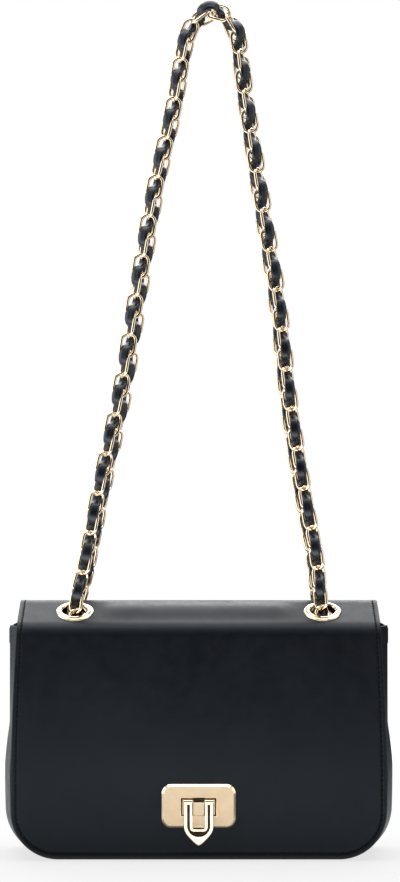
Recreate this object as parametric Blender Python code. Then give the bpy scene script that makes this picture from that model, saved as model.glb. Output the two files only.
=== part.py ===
"""Crossbody bag with a front flap, a flip lock and a doubled chain strap woven with a lace.

The bag hangs by the crown of its strap. The origin is the point under the crown where a hook bears, the
front faces -Y and +Z is up. Sizes are in metres. Shapes are drawn in the bag's own frame, with its base at
zero height and its middle at zero width, and each object is then placed by its location.
"""

import math

import bmesh
import bpy
from mathutils import Matrix, Vector

# Leather, lining and the gap that touching pieces keep
GAP = 0.0003
LEATHER = 0.0016
LINING = 0.0008
CUT_OVERRUN = 0.004

# Body of the bag, seen from the front
BODY_HEIGHT = 0.1625
BASE_WIDTH_LOSS = 0.0020
CORNER_RADIUS = 0.0300
MOUTH_DROP = 0.0345
GUSSET_FRONT_DROP = 0.0245
GUSSET_REAR_DROP = 0.0230
BACK_FLARE = 0.0042
SIDE_BULGE = 0.0031
SIDE_FOLD = 0.0070

# Top and shoulders, seen from the side: a crown, a flat band that carries the eyelets, and a shoulder
TOP_DRAW = 0.0084
TOP_DRAW_POWER = 1.5
EAR_DROP = 0.0073
CROWN_RADIUS = 0.0140
BAND_LENGTH = 0.0245
EYELET_ALONG = 0.0120
BAND_SLOPE = math.radians(26.0)
SHOULDER_RADIUS = 0.0120
SHOULDER_END_SLOPE = math.radians(86.0)
BASE_HALF_DEPTH = 0.0380
KNEE_HEIGHT = 0.0560

# Flap, and how much wider the panels behind it are
FLAP_WIDTH = 0.2374
PANEL_MARGIN = 0.0018
PANEL_TOP_MARGIN = 0.0010
FLAP_CORNER_RADIUS = 0.0290
FLAP_HEM_HEIGHT = 0.0015
FLAP_LINING_MARGIN = 0.0030
HINGE_HEIGHT = 0.0006

# Inner pieces
BOARD_THICKNESS = 0.0015
BOARD_MARGIN = 0.0040
POCKET_WIDTH = 0.1500
POCKET_HEIGHT = 0.0850
POCKET_RISE = 0.0200

# Eyelets, and the height of the swing's axis over their middles
EYELET_INSET = 0.0355
SWING_RISE = 0.0040
EYELET_FLANGE = 0.0040
EYELET_FLANGE_THICKNESS = 0.0016
EYELET_WALL = 0.0007
EYELET_ROLL = 0.0010
WASHER_THICKNESS = 0.0009
WASHER_WIDTH = 0.0016
BORE_CLEARANCE = 0.0023

# Chain and lace
WIRE = 0.0021
LINK_WIDTH = 0.0114
LINK_PITCH = 0.01285
LINK_LEAN = math.radians(35.0)
LINK_OVERLAP = 0.0003
LACE_WIDTH = 0.0048
LACE_THICKNESS = 0.0022
LACE_LIFT = 0.0008
LACE_BEND_LIFT = 0.0100
STRAP_RISE = 0.3860
STRAND_CLEARANCE = 0.0012
INSIDE_DROP = 0.0115
STRAP_TURN = math.radians(55.0)
SPLIT_RISE = 0.0120

# Flip lock
LOCK_HEIGHT = 0.0346
PLATE_WIDTH = 0.0467
PLATE_HEIGHT = 0.0274
PLATE_CORNER = 0.0060
PLATE_THICKNESS = 0.0024
PLATE_BEVEL = 0.0012
WINDOW_WIDTH = 0.0223
WINDOW_HEIGHT = 0.0114
WINDOW_DROP = 0.0007
BACKING_MARGIN = 0.0035
BASE_PLATE_MARGIN = 0.0040
BASE_PLATE_THICKNESS = 0.0012
POST_CLEARANCE = 0.0006
LATCH_WIDTH = 0.0186
LATCH_LENGTH = 0.0272
LATCH_THICKNESS = 0.0034
LATCH_BEVEL = 0.0008
PIN_DROP = 0.0022
PIN_RADIUS = 0.0006
PIN_CLEARANCE = 0.0003
BARREL_RADIUS = 0.0015
KNUCKLE_WIDTH = 0.0066
TONGUE_LENGTH = 0.0082
GROOVE_WIDTH = 0.0016
GROOVE_DEPTH = 0.0020
GROOVE_OFFSET = 0.0064
GROOVE_DROP = 0.0217
RIB_WIDTH = 0.0016
RIB_FOOT_WIDTH = 0.0014
RIB_DROP = 0.0185
RIB_CORNER = 0.0024
POCKET_DEPTH = 0.0014
POCKET_CORNER = 0.0010

# Faceting
ROUND_SIDES = 16
ACROSS_SHARES = (-1.0, -0.72, -0.34, 0.34, 0.72, 1.0)
SIDE_ROW_SHARES = (1.0, 0.66, 0.33, 0.0)
STRIP_SHARES = (0.0, 0.25, 0.5, 0.75, 1.0)
CORNER_STEPS = 4
ARC_STEPS = 4
SMALL_CORNER_STEPS = 2
BARREL_SIDES = 12
PIN_SIDES = 8
MITRE_LIMIT_SHARE = 0.5

# The strap's route over the front: shares of the eyelets' half spacing, of the rise and of the turn
STRAND_ROUTE_SHARES = (
    (-1.000, 0.000, 0.00),
    (-0.990, 0.022, 0.00),
    (-0.920, 0.081, 0.00),
    (-0.810, 0.202, 0.35),
    (-0.633, 0.369, 0.80),
    (-0.502, 0.533, 1.00),
    (-0.360, 0.701, 1.00),
    (-0.211, 0.832, 1.00),
    (-0.120, 0.939, 1.00),
    (-0.058, 0.975, 1.00),
    (0.026, 0.994, 1.00),
    (0.122, 1.000, 1.00),
    (0.225, 0.992, 1.00),
    (0.296, 0.971, 1.00),
    (0.328, 0.945, 1.00),
    (0.385, 0.850, 1.00),
    (0.513, 0.684, 0.80),
    (0.647, 0.517, 0.50),
    (0.739, 0.353, 0.25),
    (0.853, 0.202, 0.10),
    (0.950, 0.096, 0.00),
    (0.985, 0.022, 0.00),
    (0.990, 0.000, 0.00),
)
# Under the top, from a front eyelet to the back one: shares of the strand's depth and of the drop
INSIDE_ROUTE_SHARES = ((-0.97, 0.42), (-0.74, 0.86), (-0.26, 1.0), (0.26, 1.0), (0.74, 0.86), (0.97, 0.42))
# The back strands hang a little nearer the middle than the front ones
BACK_ACROSS_SHARE = 0.965
BACK_DRAW_START_SHARE = 0.15
EYELET_RISE_SHARE = 0.01
CROWN_ACROSS_SHARE = 0.122
LINK_TIP_SHARE = 0.42
LINK_SHOULDER_SHARE = 0.62
LACE_HOLD_SHARE = 0.14
SPLIT_RISE_SHARE = 0.91
SPLIT_ACROSS_SHARE = 0.34
LATCH_OUTLINE_SHARES = ((1.0, 0.0), (1.0, 0.615), (0.95, 0.665), (0.73, 0.785), (0.36, 0.92), (0.07, 0.995))
LATCH_TIP_INSET_SHARE = 1.3
PLATE_BEVEL_STEP_SHARE = 1 / 3
FLANGE_STEP_SHARES = ((0.0, 0.70), (0.22, 1.0), (0.44, 0.84), (0.80, 0.74), (1.0, 0.40))

# Worked out from the sizes above
MOUTH_HEIGHT = BODY_HEIGHT - MOUTH_DROP
GUSSET_FRONT_HEIGHT = BODY_HEIGHT - GUSSET_FRONT_DROP
GUSSET_REAR_HEIGHT = BODY_HEIGHT - GUSSET_REAR_DROP
PANEL_WIDTH = FLAP_WIDTH + PANEL_MARGIN
PANEL_TOP_WIDTH = FLAP_WIDTH + PANEL_TOP_MARGIN
TOP_WIDTH = FLAP_WIDTH - TOP_DRAW
EYELET_SPACING = TOP_WIDTH - 2 * EYELET_INSET
EYELET_BORE = LINK_WIDTH + 2 * BORE_CLEARANCE
EYELET_Y = CROWN_RADIUS * math.sin(BAND_SLOPE) + EYELET_ALONG * math.cos(BAND_SLOPE)
EYELET_Z = BODY_HEIGHT - CROWN_RADIUS * (1 - math.cos(BAND_SLOPE)) - EYELET_ALONG * math.sin(BAND_SLOPE)
LACE_OFFSET = (LINK_WIDTH - WIRE) / 2 * math.sin(LINK_LEAN) + LACE_THICKNESS / 2 + LACE_LIFT
STRAND_HALF = LACE_OFFSET + LACE_THICKNESS / 2
RIM_LIFT_Y = EYELET_FLANGE_THICKNESS * math.sin(BAND_SLOPE)
RIM_REAR_Y = EYELET_Y - EYELET_BORE / 2 * math.cos(BAND_SLOPE) + RIM_LIFT_Y
STRAND_Y = RIM_REAR_Y + STRAND_CLEARANCE + STRAND_HALF
CROWN_Y = LINK_WIDTH / 2 + 2 * GAP
HANG_HEIGHT = EYELET_Z + STRAP_RISE - STRAND_HALF
BAG_MIDDLE = -CROWN_ACROSS_SHARE * EYELET_SPACING / 2
BAG_ORIGIN = Vector((BAG_MIDDLE, 0.0, -HANG_HEIGHT))
FLAP_THICKNESS = LEATHER + GAP + LINING
FRONT_Y = -BASE_HALF_DEPTH + FLAP_THICKNESS + GAP + BASE_PLATE_THICKNESS + GAP


def clear_scene():
    """Remove the objects of the opening scene."""
    for old in list(bpy.data.objects):
        bpy.data.objects.remove(old, do_unlink=True)


def finish(name, colour, metallic, roughness):
    """A Principled material."""
    made = bpy.data.materials.new(name)
    made.use_nodes = True
    shader = made.node_tree.nodes["Principled BSDF"]
    shader.inputs["Base Color"].default_value = (*colour, 1.0)
    shader.inputs["Metallic"].default_value = metallic
    shader.inputs["Roughness"].default_value = roughness
    made.diffuse_color = (*colour, 1.0)
    return made


def axis_empty(name, place, parent=None):
    """An empty on a joint's axis, for moving pieces to hang from."""
    empty = bpy.data.objects.new(name, None)
    bpy.context.scene.collection.objects.link(empty)
    empty.location = BAG_ORIGIN + Vector(place)
    hang_from(empty, parent)
    return empty


def hang_from(piece, parent):
    """Parent a piece and keep its place in the world."""
    if parent is None:
        return
    piece.parent = parent
    bpy.context.view_layer.update()
    piece.matrix_parent_inverse = parent.matrix_world.inverted()


def object_from(name, points, faces, material, parent=None, hidden=False):
    """A closed mesh in the bag's frame, with its faces turned outwards."""
    mesh = bpy.data.meshes.new(name)
    mesh.from_pydata([tuple(point) for point in points], [], faces)
    work = bmesh.new()
    work.from_mesh(mesh)
    bmesh.ops.recalc_face_normals(work, faces=work.faces)
    if work.calc_volume(signed=True) < 0:
        bmesh.ops.reverse_faces(work, faces=work.faces)
    work.to_mesh(mesh)
    work.free()
    if material:
        mesh.materials.append(material)
    piece = bpy.data.objects.new(name, mesh)
    bpy.context.scene.collection.objects.link(piece)
    piece.location = BAG_ORIGIN
    hang_from(piece, parent)
    if hidden:
        piece.hide_render = True
        piece.display_type = "WIRE"
    else:
        mesh.shade_smooth()
        mesh.set_sharp_from_angle(angle=math.radians(35))
    return piece


def grid_faces(rows, columns, first, closed=False):
    """Quads between neighbouring rows of a grid of points."""
    faces = []
    for row in range(rows - 1):
        for column in range(columns if closed else columns - 1):
            after = (column + 1) % columns
            a = first + row * columns
            b = a + columns
            faces.append((a + column, a + after, b + after, b + column))
    return faces


def thick_sheet(name, outer, inner, material, parent=None):
    """A closed solid between two grids of points of the same shape."""
    rows, columns = len(outer), len(outer[0])
    count = rows * columns
    points = [point for row in outer for point in row] + [point for row in inner for point in row]
    faces = grid_faces(rows, columns, 0) + grid_faces(rows, columns, count)
    rim = [(0, column) for column in range(columns)]
    rim += [(row, columns - 1) for row in range(1, rows)]
    rim += [(rows - 1, column) for column in range(columns - 2, -1, -1)]
    rim += [(row, 0) for row in range(rows - 2, 0, -1)]
    index = [row * columns + column for row, column in rim]
    for here, after in zip(index, index[1:] + index[:1]):
        faces.append((here, after, after + count, here + count))
    return object_from(name, points, faces, material, parent)


def stack(name, rings, material=None, parent=None, hidden=False):
    """A closed solid through rings of points, with flat ends."""
    size = len(rings[0])
    points = [point for ring in rings for point in ring]
    faces = grid_faces(len(rings), size, 0, closed=True)
    faces.append(tuple(range(size)))
    faces.append(tuple(range(len(points) - size, len(points))))
    return object_from(name, points, faces, material, parent, hidden)


def plate_ring(outline, y):
    """An outline of (x, z) pairs as a ring of points at one depth."""
    return [(x, y, z) for x, z in outline]


def rounded_box(width, height, radius, middle_z, steps=CORNER_STEPS):
    """Outline of a rectangle with round corners, in x and z."""
    outline = []
    for turn, sx, sz in ((0, 1, 1), (1, -1, 1), (2, -1, -1), (3, 1, -1)):
        for step in range(steps + 1):
            angle = (turn + step / steps) * math.pi / 2
            x = sx * (width / 2 - radius) + radius * math.cos(angle)
            z = sz * (height / 2 - radius) + radius * math.sin(angle)
            outline.append((x, middle_z + z))
    return outline


def box_outline(width, height, middle_z):
    """Outline of a plain rectangle, in x and z."""
    x, z = width / 2, height / 2
    return [(x, middle_z + z), (-x, middle_z + z), (-x, middle_z - z), (x, middle_z - z)]


def turned(name, profile, centre, axis, material, parent=None, sides=ROUND_SIDES, hidden=False):
    """A ring turned from a closed profile of (radius, height) pairs about an axis."""
    turn = Vector((0, 0, 1)).rotation_difference(Vector(axis)).to_matrix()
    points = []
    for side in range(sides):
        angle = 2 * math.pi * side / sides
        for radius, height in profile:
            local = Vector((radius * math.cos(angle), radius * math.sin(angle), height))
            points.append(Vector(centre) + turn @ local)
    count = len(profile)
    faces = []
    for side in range(sides):
        for step in range(count):
            a = side * count + step
            b = side * count + (step + 1) % count
            c = ((side + 1) % sides) * count
            faces.append((a, b, c + (step + 1) % count, c + step))
    return object_from(name, points, faces, material, parent, hidden)


def rod(name, start, end, radius, material=None, parent=None, sides=ROUND_SIDES, hidden=False):
    """A plain round bar between two points."""
    start, end = Vector(start), Vector(end)
    turn = Vector((0, 0, 1)).rotation_difference(end - start).to_matrix()
    rings = []
    for place in (start, end):
        ring = []
        for side in range(sides):
            angle = 2 * math.pi * side / sides
            ring.append(place + turn @ Vector((radius * math.cos(angle), radius * math.sin(angle), 0)))
        rings.append(ring)
    return stack(name, rings, material, parent, hidden)


def combine(piece, other, operation):
    """Join or cut a piece with another, which is then left out of the part."""
    modifier = piece.modifiers.new(operation.title(), "BOOLEAN")
    modifier.operation = operation
    modifier.object = other
    other.hide_render = True
    other.display_type = "WIRE"


def side_half_width(z, across=0.0):
    """Half the body's width at a height, from the front at 0 to the back at 1, without round corners."""
    flare = BACK_FLARE * across
    widest, top = PANEL_WIDTH / 2 + flare, PANEL_TOP_WIDTH / 2 + flare
    if z < KNEE_HEIGHT:
        return widest - BASE_WIDTH_LOSS * (1 - z / KNEE_HEIGHT) ** 2
    return widest + (top - widest) * (z - KNEE_HEIGHT) / (GUSSET_REAR_HEIGHT - KNEE_HEIGHT)


def body_half_width(z, inset=0.0, floor=0.0, across=0.0):
    """Half the width of the body at a height, with its lower corners rounded."""
    radius = CORNER_RADIUS - inset
    height = z - floor
    if height >= radius:
        return side_half_width(z, across) - inset
    reach = math.sqrt(max(radius**2 - (radius - height) ** 2, 0.0))
    return side_half_width(floor + radius, across) - inset - radius + reach


def flap_half_width(z):
    """Half the width of the flap at a height."""
    ridge = BODY_HEIGHT - KNEE_HEIGHT
    side = FLAP_WIDTH / 2
    if z > KNEE_HEIGHT:
        side += (TOP_WIDTH - FLAP_WIDTH) / 2 * ((z - KNEE_HEIGHT) / ridge) ** TOP_DRAW_POWER
    height = z - FLAP_HEM_HEIGHT
    if height < FLAP_CORNER_RADIUS:
        reach = math.sqrt(max(FLAP_CORNER_RADIUS**2 - (FLAP_CORNER_RADIUS - height) ** 2, 0.0))
        side += reach - FLAP_CORNER_RADIUS
    return side


def band_point(share):
    """A point of the flat band in front, from the crown at 0 to the shoulder at 1, as (y, z)."""
    along = BAND_LENGTH * share
    y = CROWN_RADIUS * math.sin(BAND_SLOPE) + along * math.cos(BAND_SLOPE)
    z = BODY_HEIGHT - CROWN_RADIUS * (1 - math.cos(BAND_SLOPE)) - along * math.sin(BAND_SLOPE)
    return (-y, z)


def shoulder_points(steps=ARC_STEPS):
    """The shoulder's arc in front, from the band downwards, as (y, z)."""
    y, z = band_point(1.0)
    points = []
    for step in range(1, steps + 1):
        slope = BAND_SLOPE + (SHOULDER_END_SLOPE - BAND_SLOPE) * step / steps
        out = SHOULDER_RADIUS * (math.sin(slope) - math.sin(BAND_SLOPE))
        down = SHOULDER_RADIUS * (math.cos(BAND_SLOPE) - math.cos(slope))
        points.append((y - out, z - down))
    return points


def crown_points(steps=ARC_STEPS):
    """The crown's arc from the front band over to the back band, as (y, z)."""
    points = []
    for step in range(-steps, steps + 1):
        slope = BAND_SLOPE * step / steps
        points.append((CROWN_RADIUS * math.sin(slope), BODY_HEIGHT - CROWN_RADIUS * (1 - math.cos(slope))))
    return points


def corner_heights(radius, floor, steps=CORNER_STEPS):
    """Heights that step evenly round a lower corner, from the floor up."""
    return [floor + radius * (1 - math.cos(math.pi / 2 * step / steps)) for step in range(steps + 1)]


def mirrored(points):
    """Points of the front turned to the back, in reverse order."""
    return [(-y, z) for y, z in reversed(points)]


def offset_profile(points, depth):
    """Points moved inwards, square to a profile that runs from the front over the top to the back."""
    moved = []
    for index, (y, z) in enumerate(points):
        before = points[max(index - 1, 0)]
        after = points[min(index + 1, len(points) - 1)]
        along = Vector((after[0] - before[0], after[1] - before[1])).normalized()
        if 0 < index < len(points) - 1:
            first = Vector((y - before[0], z - before[1])).normalized()
            mitre = max(first.dot(along), MITRE_LIMIT_SHARE)
        else:
            mitre = 1.0
        moved.append((y + along.y * depth / mitre, z - along.x * depth / mitre))
    return moved


def panel(name, profile, half_widths, thickness, material, parent=None, shares=ACROSS_SHARES, depth=0.0):
    """A sheet of leather or lining that follows a profile of (y, z) points, with a half width at each."""
    outer_line = offset_profile(profile, depth)
    inner_line = offset_profile(profile, depth + thickness)
    grids = []
    for line in (outer_line, inner_line):
        grids.append([[(share * half, y, z) for share in shares] for (y, z), half in zip(line, half_widths)])
    return thick_sheet(name, grids[0], grids[1], material, parent)


def front_face(z, knee_y, top_y, top_z):
    """Depth of an upright face that leans back above its knee."""
    if z <= KNEE_HEIGHT:
        return knee_y
    return knee_y + (top_y - knee_y) * (z - KNEE_HEIGHT) / (top_z - KNEE_HEIGHT)


class Body:
    """The shell of the bag: front, back, gusset, lining, board and pocket."""

    def __init__(self, leather, lining, board, swing):
        self.leather = leather
        self.lining = lining
        self.board = board
        self.swing = swing
        self.shoulder_y, self.shoulder_z = shoulder_points()[-1]
        self.lean = BASE_HALF_DEPTH + FRONT_Y
        self.inner = LEATHER + 2 * GAP

    def front_y(self, z, depth=0.0):
        """Outer depth of the front panel at a height, moved inwards by a depth."""
        return front_face(z, FRONT_Y, self.shoulder_y + self.lean, self.shoulder_z) + depth

    def back_y(self, z, depth=0.0):
        """Outer depth of the back panel at a height, moved inwards by a depth."""
        return -front_face(z, -BASE_HALF_DEPTH, self.shoulder_y, self.shoulder_z) - depth

    def wall_heights(self, top, floor=0.0, inset=0.0):
        """Heights of the rows of an upright panel, from its top down."""
        radius = CORNER_RADIUS - inset
        low = corner_heights(radius, floor)
        straight = [KNEE_HEIGHT + (top - KNEE_HEIGHT) * share for share in SIDE_ROW_SHARES]
        return straight + low[::-1]

    def front_panel(self):
        """The front wall, under the flap. Its top edge is the sill of the mouth."""
        heights = self.wall_heights(MOUTH_HEIGHT)[::-1]
        profile = [(self.front_y(z), z) for z in heights]
        widths = [body_half_width(z) for z in heights]
        return panel("front_panel", profile, widths, LEATHER, self.leather, self.swing)

    def back_and_top_panel(self):
        """The back wall and the top, one piece of leather, with the four eyelet holes."""
        heights = self.wall_heights(GUSSET_REAR_HEIGHT - SHOULDER_RADIUS)
        profile = [band_point(1.0), band_point(0.5)]
        profile += crown_points()
        profile += mirrored([band_point(0.5), band_point(1.0)])[::-1]
        top_rows = len(profile)
        profile += [(-y, z) for y, z in shoulder_points()]
        shoulder_rows = len(profile)
        profile += [(self.back_y(z), z) for z in heights if z < self.shoulder_z - SHOULDER_RADIUS / 2]
        _, band_z = band_point(1.0)
        widths = []
        for index, (_, z) in enumerate(profile):
            if index < top_rows:
                widths.append(flap_half_width(z))
            elif index < shoulder_rows:
                share = min((band_z - z) / EAR_DROP, 1.0) ** 2
                full = body_half_width(z, across=1.0)
                widths.append(flap_half_width(z) + (full - flap_half_width(z)) * share)
            else:
                widths.append(body_half_width(z, across=1.0))
        leather = panel("back_and_top_panel", profile, widths, LEATHER, self.leather, self.swing)
        for side in (-1, 1):
            for face in (-1, 1):
                centre, axis = eyelet_place(side, face)
                radius = EYELET_BORE / 2 + EYELET_WALL + GAP
                reach = axis * (LEATHER + CUT_OVERRUN)
                hole = rod(f"hole_{side}_{face}", centre - reach, centre + reach, radius, hidden=True)
                combine(leather, hole, "DIFFERENCE")
        return leather

    def gusset_strip(self, name, thickness, inset, floor, front_depth, back_depth, material):
        """A U-shaped strip round both sides and the base, folded in at the top and full lower down."""
        rows = list(range(len(SIDE_ROW_SHARES) + CORNER_STEPS + 1))
        edges = (LEATHER + GAP + front_depth, LEATHER + GAP + back_depth)
        grids = ([], [])
        for mirror, order in ((-1, rows), (1, rows[::-1])):
            for index in order:
                for grid, depth in zip(grids, (0.0, thickness)):
                    grid.append([self.strip_point(index, share, mirror, inset, floor, depth, edges)
                                 for share in STRIP_SHARES])
        return thick_sheet(name, grids[0], grids[1], material, self.swing)

    def strip_point(self, index, share, mirror, inset, floor, depth, edges):
        """One point of the strip: a row down the side or round the corner, at a share across it."""
        radius = CORNER_RADIUS - inset
        straight = len(SIDE_ROW_SHARES)
        if index < straight:
            top = GUSSET_FRONT_HEIGHT + (GUSSET_REAR_HEIGHT - GUSSET_FRONT_HEIGHT) * share
            z = KNEE_HEIGHT + (top - KNEE_HEIGHT) * SIDE_ROW_SHARES[index]
            x = side_half_width(z) - inset
            out_x, out_z = 1.0, 0.0
        else:
            turn = math.pi / 2 * (index - straight) / CORNER_STEPS
            out_x, out_z = math.cos(turn), -math.sin(turn)
            x = side_half_width(CORNER_RADIUS) - CORNER_RADIUS + radius * out_x
            z = floor + radius + radius * out_z
        first, last = self.front_y(z, LEATHER + GAP), self.back_y(z, LEATHER + GAP)
        front, back = self.front_y(z, edges[0]), self.back_y(z, edges[1])
        y = min(max(first + (last - first) * share, front), back)
        across = (y - first) / (last - first)
        upper = max(z - KNEE_HEIGHT, 0.0) / (GUSSET_REAR_HEIGHT - KNEE_HEIGHT)
        swell = (SIDE_BULGE * (1 - upper) - SIDE_FOLD * upper) * out_x
        x += self.arch(across) * swell * out_x + BACK_FLARE * across
        return (mirror * (x - depth * out_x), y, z - depth * out_z)

    @staticmethod
    def arch(across):
        """How full the strip is at a share of the way across, in straight runs between its columns."""
        for low, high in zip(STRIP_SHARES, STRIP_SHARES[1:]):
            if across <= high:
                break
        at_low, at_high = (1 - (2 * share - 1) ** 2 for share in (low, high))
        return at_low + (at_high - at_low) * (across - low) / (high - low)

    def build(self):
        """All the pieces of the shell."""
        inner = self.inner
        self.front_panel()
        self.back_and_top_panel()
        self.gusset_strip("gusset", LEATHER, 0.0, 0.0, 0.0, 0.0, self.leather)
        floor = LEATHER + GAP + BOARD_THICKNESS + GAP
        lined = LEATHER + BASE_PLATE_THICKNESS + 2 * GAP
        self.gusset_strip("lining_gusset", LINING, inner, floor, BASE_PLATE_THICKNESS + LINING + 2 * GAP,
                          LINING + GAP, self.lining)
        self.lining_wall("lining_front", MOUTH_HEIGHT, self.front_y, lined, floor, 0.0)
        self.lining_wall("lining_back", self.shoulder_z - LEATHER, self.back_y, inner, floor, 1.0)
        self.base_board()
        self.slip_pocket(floor)

    def lining_wall(self, name, top, face, depth, floor, across):
        """The lining of the front or the back wall."""
        inset = LEATHER + LINING + 2 * GAP
        low = corner_heights(CORNER_RADIUS - inset, floor + LINING + GAP, SMALL_CORNER_STEPS)
        heights = [low[0], low[1], low[2], KNEE_HEIGHT, top - GAP]
        grids = []
        for more in (0.0, LINING):
            rows = []
            for z in heights:
                half = body_half_width(z, inset, floor + LINING + GAP, across)
                if z > KNEE_HEIGHT:
                    half -= SIDE_FOLD / 2
                rows.append([(share * half, face(z, depth + more), z) for share in (-1.0, 0.0, 1.0)])
            grids.append(rows)
        return thick_sheet(name, grids[0], grids[1], self.lining, self.swing)

    def base_board(self):
        """The stiff board between the gusset's base and the lining."""
        half = body_half_width(0.0) - BOARD_MARGIN
        front = self.front_y(0.0, LEATHER + BOARD_MARGIN)
        back = self.back_y(0.0, LEATHER + BOARD_MARGIN)
        ring = [(-half, front), (half, front), (half, back), (-half, back)]
        low = LEATHER + GAP
        rings = [[(x, y, z) for x, y in ring] for z in (low, low + BOARD_THICKNESS)]
        return stack("base_board", rings, self.board, self.swing)

    def slip_pocket(self, floor):
        """A flat pocket on the lining of the back wall."""
        depth = self.inner + LINING + GAP
        grids = []
        for more in (0.0, LINING):
            rows = []
            for z in (POCKET_RISE, KNEE_HEIGHT, POCKET_RISE + POCKET_HEIGHT):
                y = self.back_y(z, depth + more)
                rows.append([(share * POCKET_WIDTH / 2, y, floor + z) for share in (-1.0, 1.0)])
            grids.append(rows)
        return thick_sheet("slip_pocket", grids[0], grids[1], self.lining, self.swing)


def eyelet_place(side, face):
    """Centre and outward axis of an eyelet: side -1 is left, face -1 is the front."""
    centre = Vector((side * EYELET_SPACING / 2, face * EYELET_Y, EYELET_Z))
    axis = Vector((0, face * math.sin(BAND_SLOPE), math.cos(BAND_SLOPE)))
    return centre, axis


class Eyelets:
    """The four stepped rings of the strap's eyelets and their washers."""

    def __init__(self, gold, steel, swing):
        self.gold = gold
        self.steel = steel
        self.swing = swing

    def ring_profile(self):
        """The ring's section: a stepped flange on the leather, a barrel through it and a rolled end."""
        bore = EYELET_BORE / 2
        barrel = bore + EYELET_WALL
        top = []
        for out, up in FLANGE_STEP_SHARES:
            top.append((bore + EYELET_FLANGE * out, GAP + EYELET_FLANGE_THICKNESS * up))
        low = -(LEATHER + 2 * GAP + WASHER_THICKNESS)
        end = low - EYELET_WALL
        return top + [
            (bore + EYELET_FLANGE, GAP),
            (barrel, GAP),
            (barrel, low),
            (barrel + EYELET_ROLL, low),
            (barrel + EYELET_ROLL, end),
            (bore, end),
        ]

    def build(self):
        """Ring and washer at each of the four places."""
        inner = EYELET_BORE / 2 + EYELET_WALL + GAP
        high = -(LEATHER + GAP)
        washer = [(inner, high), (inner + WASHER_WIDTH, high), (inner + WASHER_WIDTH, high - WASHER_THICKNESS),
                  (inner, high - WASHER_THICKNESS)]
        for side, side_name in ((-1, "left"), (1, "right")):
            for face, face_name in ((-1, "front"), (1, "back")):
                centre, axis = eyelet_place(side, face)
                where = f"{face_name}_{side_name}"
                turned(f"eyelet_{where}", self.ring_profile(), centre, axis, self.gold, self.swing)
                turned(f"eyelet_washer_{where}", washer, centre, axis, self.steel, self.swing)


class Flap:
    """The flap with its lining, and the lock's plate with its backing."""

    def __init__(self, leather, lining, gold, steel, hinge):
        self.leather = leather
        self.lining = lining
        self.gold = gold
        self.steel = steel
        self.hinge = hinge
        self.window_z = LOCK_HEIGHT - WINDOW_DROP

    def profile(self, hem):
        """The flap's outer face from its hem up to the hinge, as (y, z)."""
        shoulder = shoulder_points()[::-1]
        top_y, top_z = shoulder[0]
        heights = corner_heights(FLAP_CORNER_RADIUS, hem)
        heights += [KNEE_HEIGHT, KNEE_HEIGHT + (top_z - KNEE_HEIGHT) * 0.5]
        points = [(front_face(z, -BASE_HALF_DEPTH, top_y, top_z), z) for z in heights]
        band_y, band_z = band_point(1.0)
        start = (band_y - GAP * math.cos(BAND_SLOPE), band_z - GAP * math.sin(BAND_SLOPE))
        return points + shoulder + [start]

    def build(self):
        """Leather, lining, plate and backing."""
        profile = self.profile(FLAP_HEM_HEIGHT)
        widths = [flap_half_width(z) for _, z in profile]
        leather = panel("flap", profile, widths, LEATHER, self.leather, self.hinge)
        inner_widths = [max(width - FLAP_LINING_MARGIN, 0.0) for width in widths]
        lining = panel("flap_lining", profile[1:], inner_widths[1:], LINING, self.lining, self.hinge,
                       shares=(-1.0, 0.0, 1.0), depth=LEATHER + GAP)
        self.cut_window(leather, WINDOW_WIDTH, WINDOW_HEIGHT, "flap_window")
        clear = 2 * (BACKING_MARGIN + GAP)
        self.cut_window(lining, WINDOW_WIDTH + clear, WINDOW_HEIGHT + clear, "lining_window")
        self.plate()
        self.backing()

    def cut_window(self, piece, width, height, name):
        """Cut the lock's window through a sheet of the flap."""
        outline = box_outline(width, height, self.window_z)
        near = -BASE_HALF_DEPTH - PLATE_THICKNESS - CUT_OVERRUN
        far = -BASE_HALF_DEPTH + FLAP_THICKNESS + CUT_OVERRUN
        cutter = stack(name, [plate_ring(outline, near), plate_ring(outline, far)], hidden=True)
        combine(piece, cutter, "DIFFERENCE")

    def plate(self):
        """The plate on the flap, with a bevelled rim and a window for the post."""
        back = -BASE_HALF_DEPTH - GAP
        front = back - PLATE_THICKNESS
        rings = []
        step = PLATE_BEVEL * PLATE_BEVEL_STEP_SHARE
        for inset, y in ((0.0, back), (0.0, front + PLATE_BEVEL), (step, front + step), (PLATE_BEVEL, front)):
            width, height = PLATE_WIDTH - 2 * inset, PLATE_HEIGHT - 2 * inset
            rings.append(plate_ring(rounded_box(width, height, PLATE_CORNER - inset, LOCK_HEIGHT), y))
        plate = stack("lock_plate", rings, self.gold, self.hinge)
        self.cut_window(plate, WINDOW_WIDTH, WINDOW_HEIGHT, "plate_window")

    def backing(self):
        """The frame behind the leather that the plate is fixed to."""
        front = -BASE_HALF_DEPTH + LEATHER + GAP
        margin = 2 * BACKING_MARGIN
        width, height = WINDOW_WIDTH + margin, WINDOW_HEIGHT + margin
        outline = rounded_box(width, height, BACKING_MARGIN / 2, self.window_z, SMALL_CORNER_STEPS)
        rings = [plate_ring(outline, front), plate_ring(outline, front + LINING)]
        backing = stack("lock_backing", rings, self.steel, self.hinge)
        self.cut_window(backing, WINDOW_WIDTH, WINDOW_HEIGHT, "backing_window")


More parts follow.
